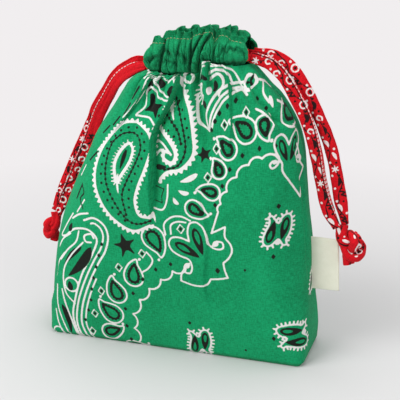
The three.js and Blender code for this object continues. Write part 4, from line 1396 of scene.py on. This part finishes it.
def make_label():
    """A tag folded in half at its outer edge, its ends caught in the side seam."""
    rows, half = 60, 28
    points = []
    for r in range(rows + 1):
        z = LABEL_BOTTOM + LABEL_HEIGHT * r / rows
        x0 = float(reach_right(z)) - 1.2
        bend = 1.2 * math.sin(math.pi * r / rows) - 0.5
        for layer in (1, -1):
            order = range(half + 1) if layer > 0 else range(half, -1, -1)
            for c in order:
                t = c / half
                gap = 0.28 + 0.35 * math.sin(math.pi * t) * (1 - t) if t < 1 else 0.0
                lean = bend * t * t + 0.4 * math.sin(3.0 * t + z * 0.08)
                x = x0 + (LABEL_WIDTH + 1.4) * t - 0.25 * math.sin(math.pi * r / rows) * t
                points.append((x, -layer * gap + lean * 0.6, z + 0.5 * t * (1 - r / rows) - 0.3 * t))
    columns = 2 * (half + 1)
    faces = grid_faces(rows + 1, columns)
    obj = mesh_object("side_label_folded", points, faces, label_material())
    put_threads(obj, [p[0] for p in points], [p[2] for p in points])
    solid = obj.modifiers.new("thickness", "SOLIDIFY")
    solid.thickness = LABEL_LAYER * MM
    solid.offset = 0.0
    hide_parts("side_label")


make_label()


FLOOR_COLOUR, SURROUNDINGS = srgb(208, 208, 208), srgb(241, 238, 239)
FLOOR_RADIUS, FADE_START, FADE_END = 3.0, 0.08, 0.42  # metres


def make_stage():
    """A pale floor that fades into the surroundings' colour, for the camera alone."""
    mesh = bpy.data.meshes.new("floor")
    shape = bmesh.new()
    bmesh.ops.create_circle(shape, cap_ends=True, segments=96, radius=FLOOR_RADIUS)
    shape.to_mesh(mesh)
    shape.free()
    floor = bpy.data.objects.new("floor", mesh)
    bpy.context.scene.collection.objects.link(floor)
    n = Nodes("floor")
    n.shader.inputs["Base Color"].default_value = FLOOR_COLOUR
    n.shader.inputs["Roughness"].default_value = 0.9
    n.shader.inputs["Specular IOR Level"].default_value = 0.1
    far = n.tree.nodes.new("ShaderNodeVectorMath")
    far.operation = "LENGTH"
    n.tree.links.new(n.coordinates, far.inputs[0])
    fade = n.spread(far.outputs["Value"], FADE_START, FADE_END, 0.0, 1.0)
    path = n.tree.nodes.new("ShaderNodeLightPath")
    glow = n.tree.nodes.new("ShaderNodeEmission")
    glow.inputs["Color"].default_value = SURROUNDINGS
    blend = n.tree.nodes.new("ShaderNodeMixShader")
    n.tree.links.new(n.math("MULTIPLY", fade, path.outputs["Is Camera Ray"]), blend.inputs[0])
    n.tree.links.new(n.shader.outputs["BSDF"], blend.inputs[1])
    n.tree.links.new(glow.outputs["Emission"], blend.inputs[2])
    output = n.tree.nodes["Material Output"]
    n.tree.links.new(blend.outputs["Shader"], output.inputs["Surface"])
    mesh.materials.append(n.material)


def make_world():
    """Soft light from all round, with the pale surroundings for the camera and for reflections."""
    world = bpy.data.worlds.new("studio")
    world.use_nodes = True
    tree = world.node_tree
    light = tree.nodes["Background"]
    light.inputs["Color"].default_value = (0.95, 0.95, 0.96, 1)
    light.inputs["Strength"].default_value = 0.42
    seen = tree.nodes.new("ShaderNodeBackground")
    seen.inputs["Color"].default_value = SURROUNDINGS
    path = tree.nodes.new("ShaderNodeLightPath")
    either = tree.nodes.new("ShaderNodeMath")
    either.operation = "MAXIMUM"
    tree.links.new(path.outputs["Is Camera Ray"], either.inputs[0])
    tree.links.new(path.outputs["Is Glossy Ray"], either.inputs[1])
    blend = tree.nodes.new("ShaderNodeMixShader")
    tree.links.new(either.outputs["Value"], blend.inputs[0])
    tree.links.new(light.outputs["Background"], blend.inputs[1])
    tree.links.new(seen.outputs["Background"], blend.inputs[2])
    tree.links.new(blend.outputs["Shader"], tree.nodes["World Output"].inputs["Surface"])
    bpy.context.scene.world = world


def area_light(name, place, aim, size, power, colour=(1, 1, 1)):
    data = bpy.data.lights.new(name, "AREA")
    data.shape = "SQUARE"
    data.size = size
    data.energy = power
    data.color = colour
    obj = bpy.data.objects.new(name, data)
    obj.location = place
    obj.rotation_euler = (Vector(place) - Vector(aim)).to_track_quat("Z", "Y").to_euler()
    bpy.context.scene.collection.objects.link(obj)


make_stage()
make_world()
area_light("key", (-0.7, -0.9, 1.1), (0, 0, 0.1), 1.0, 17.0)
area_light("fill", (1.0, -0.8, 0.7), (0, 0, 0.1), 1.0, 3.8)
area_light("top", (0.1, 0.2, 1.3), (0, 0, 0.1), 0.9, 7.5)

bpy.context.scene.view_settings.view_transform = "Standard"
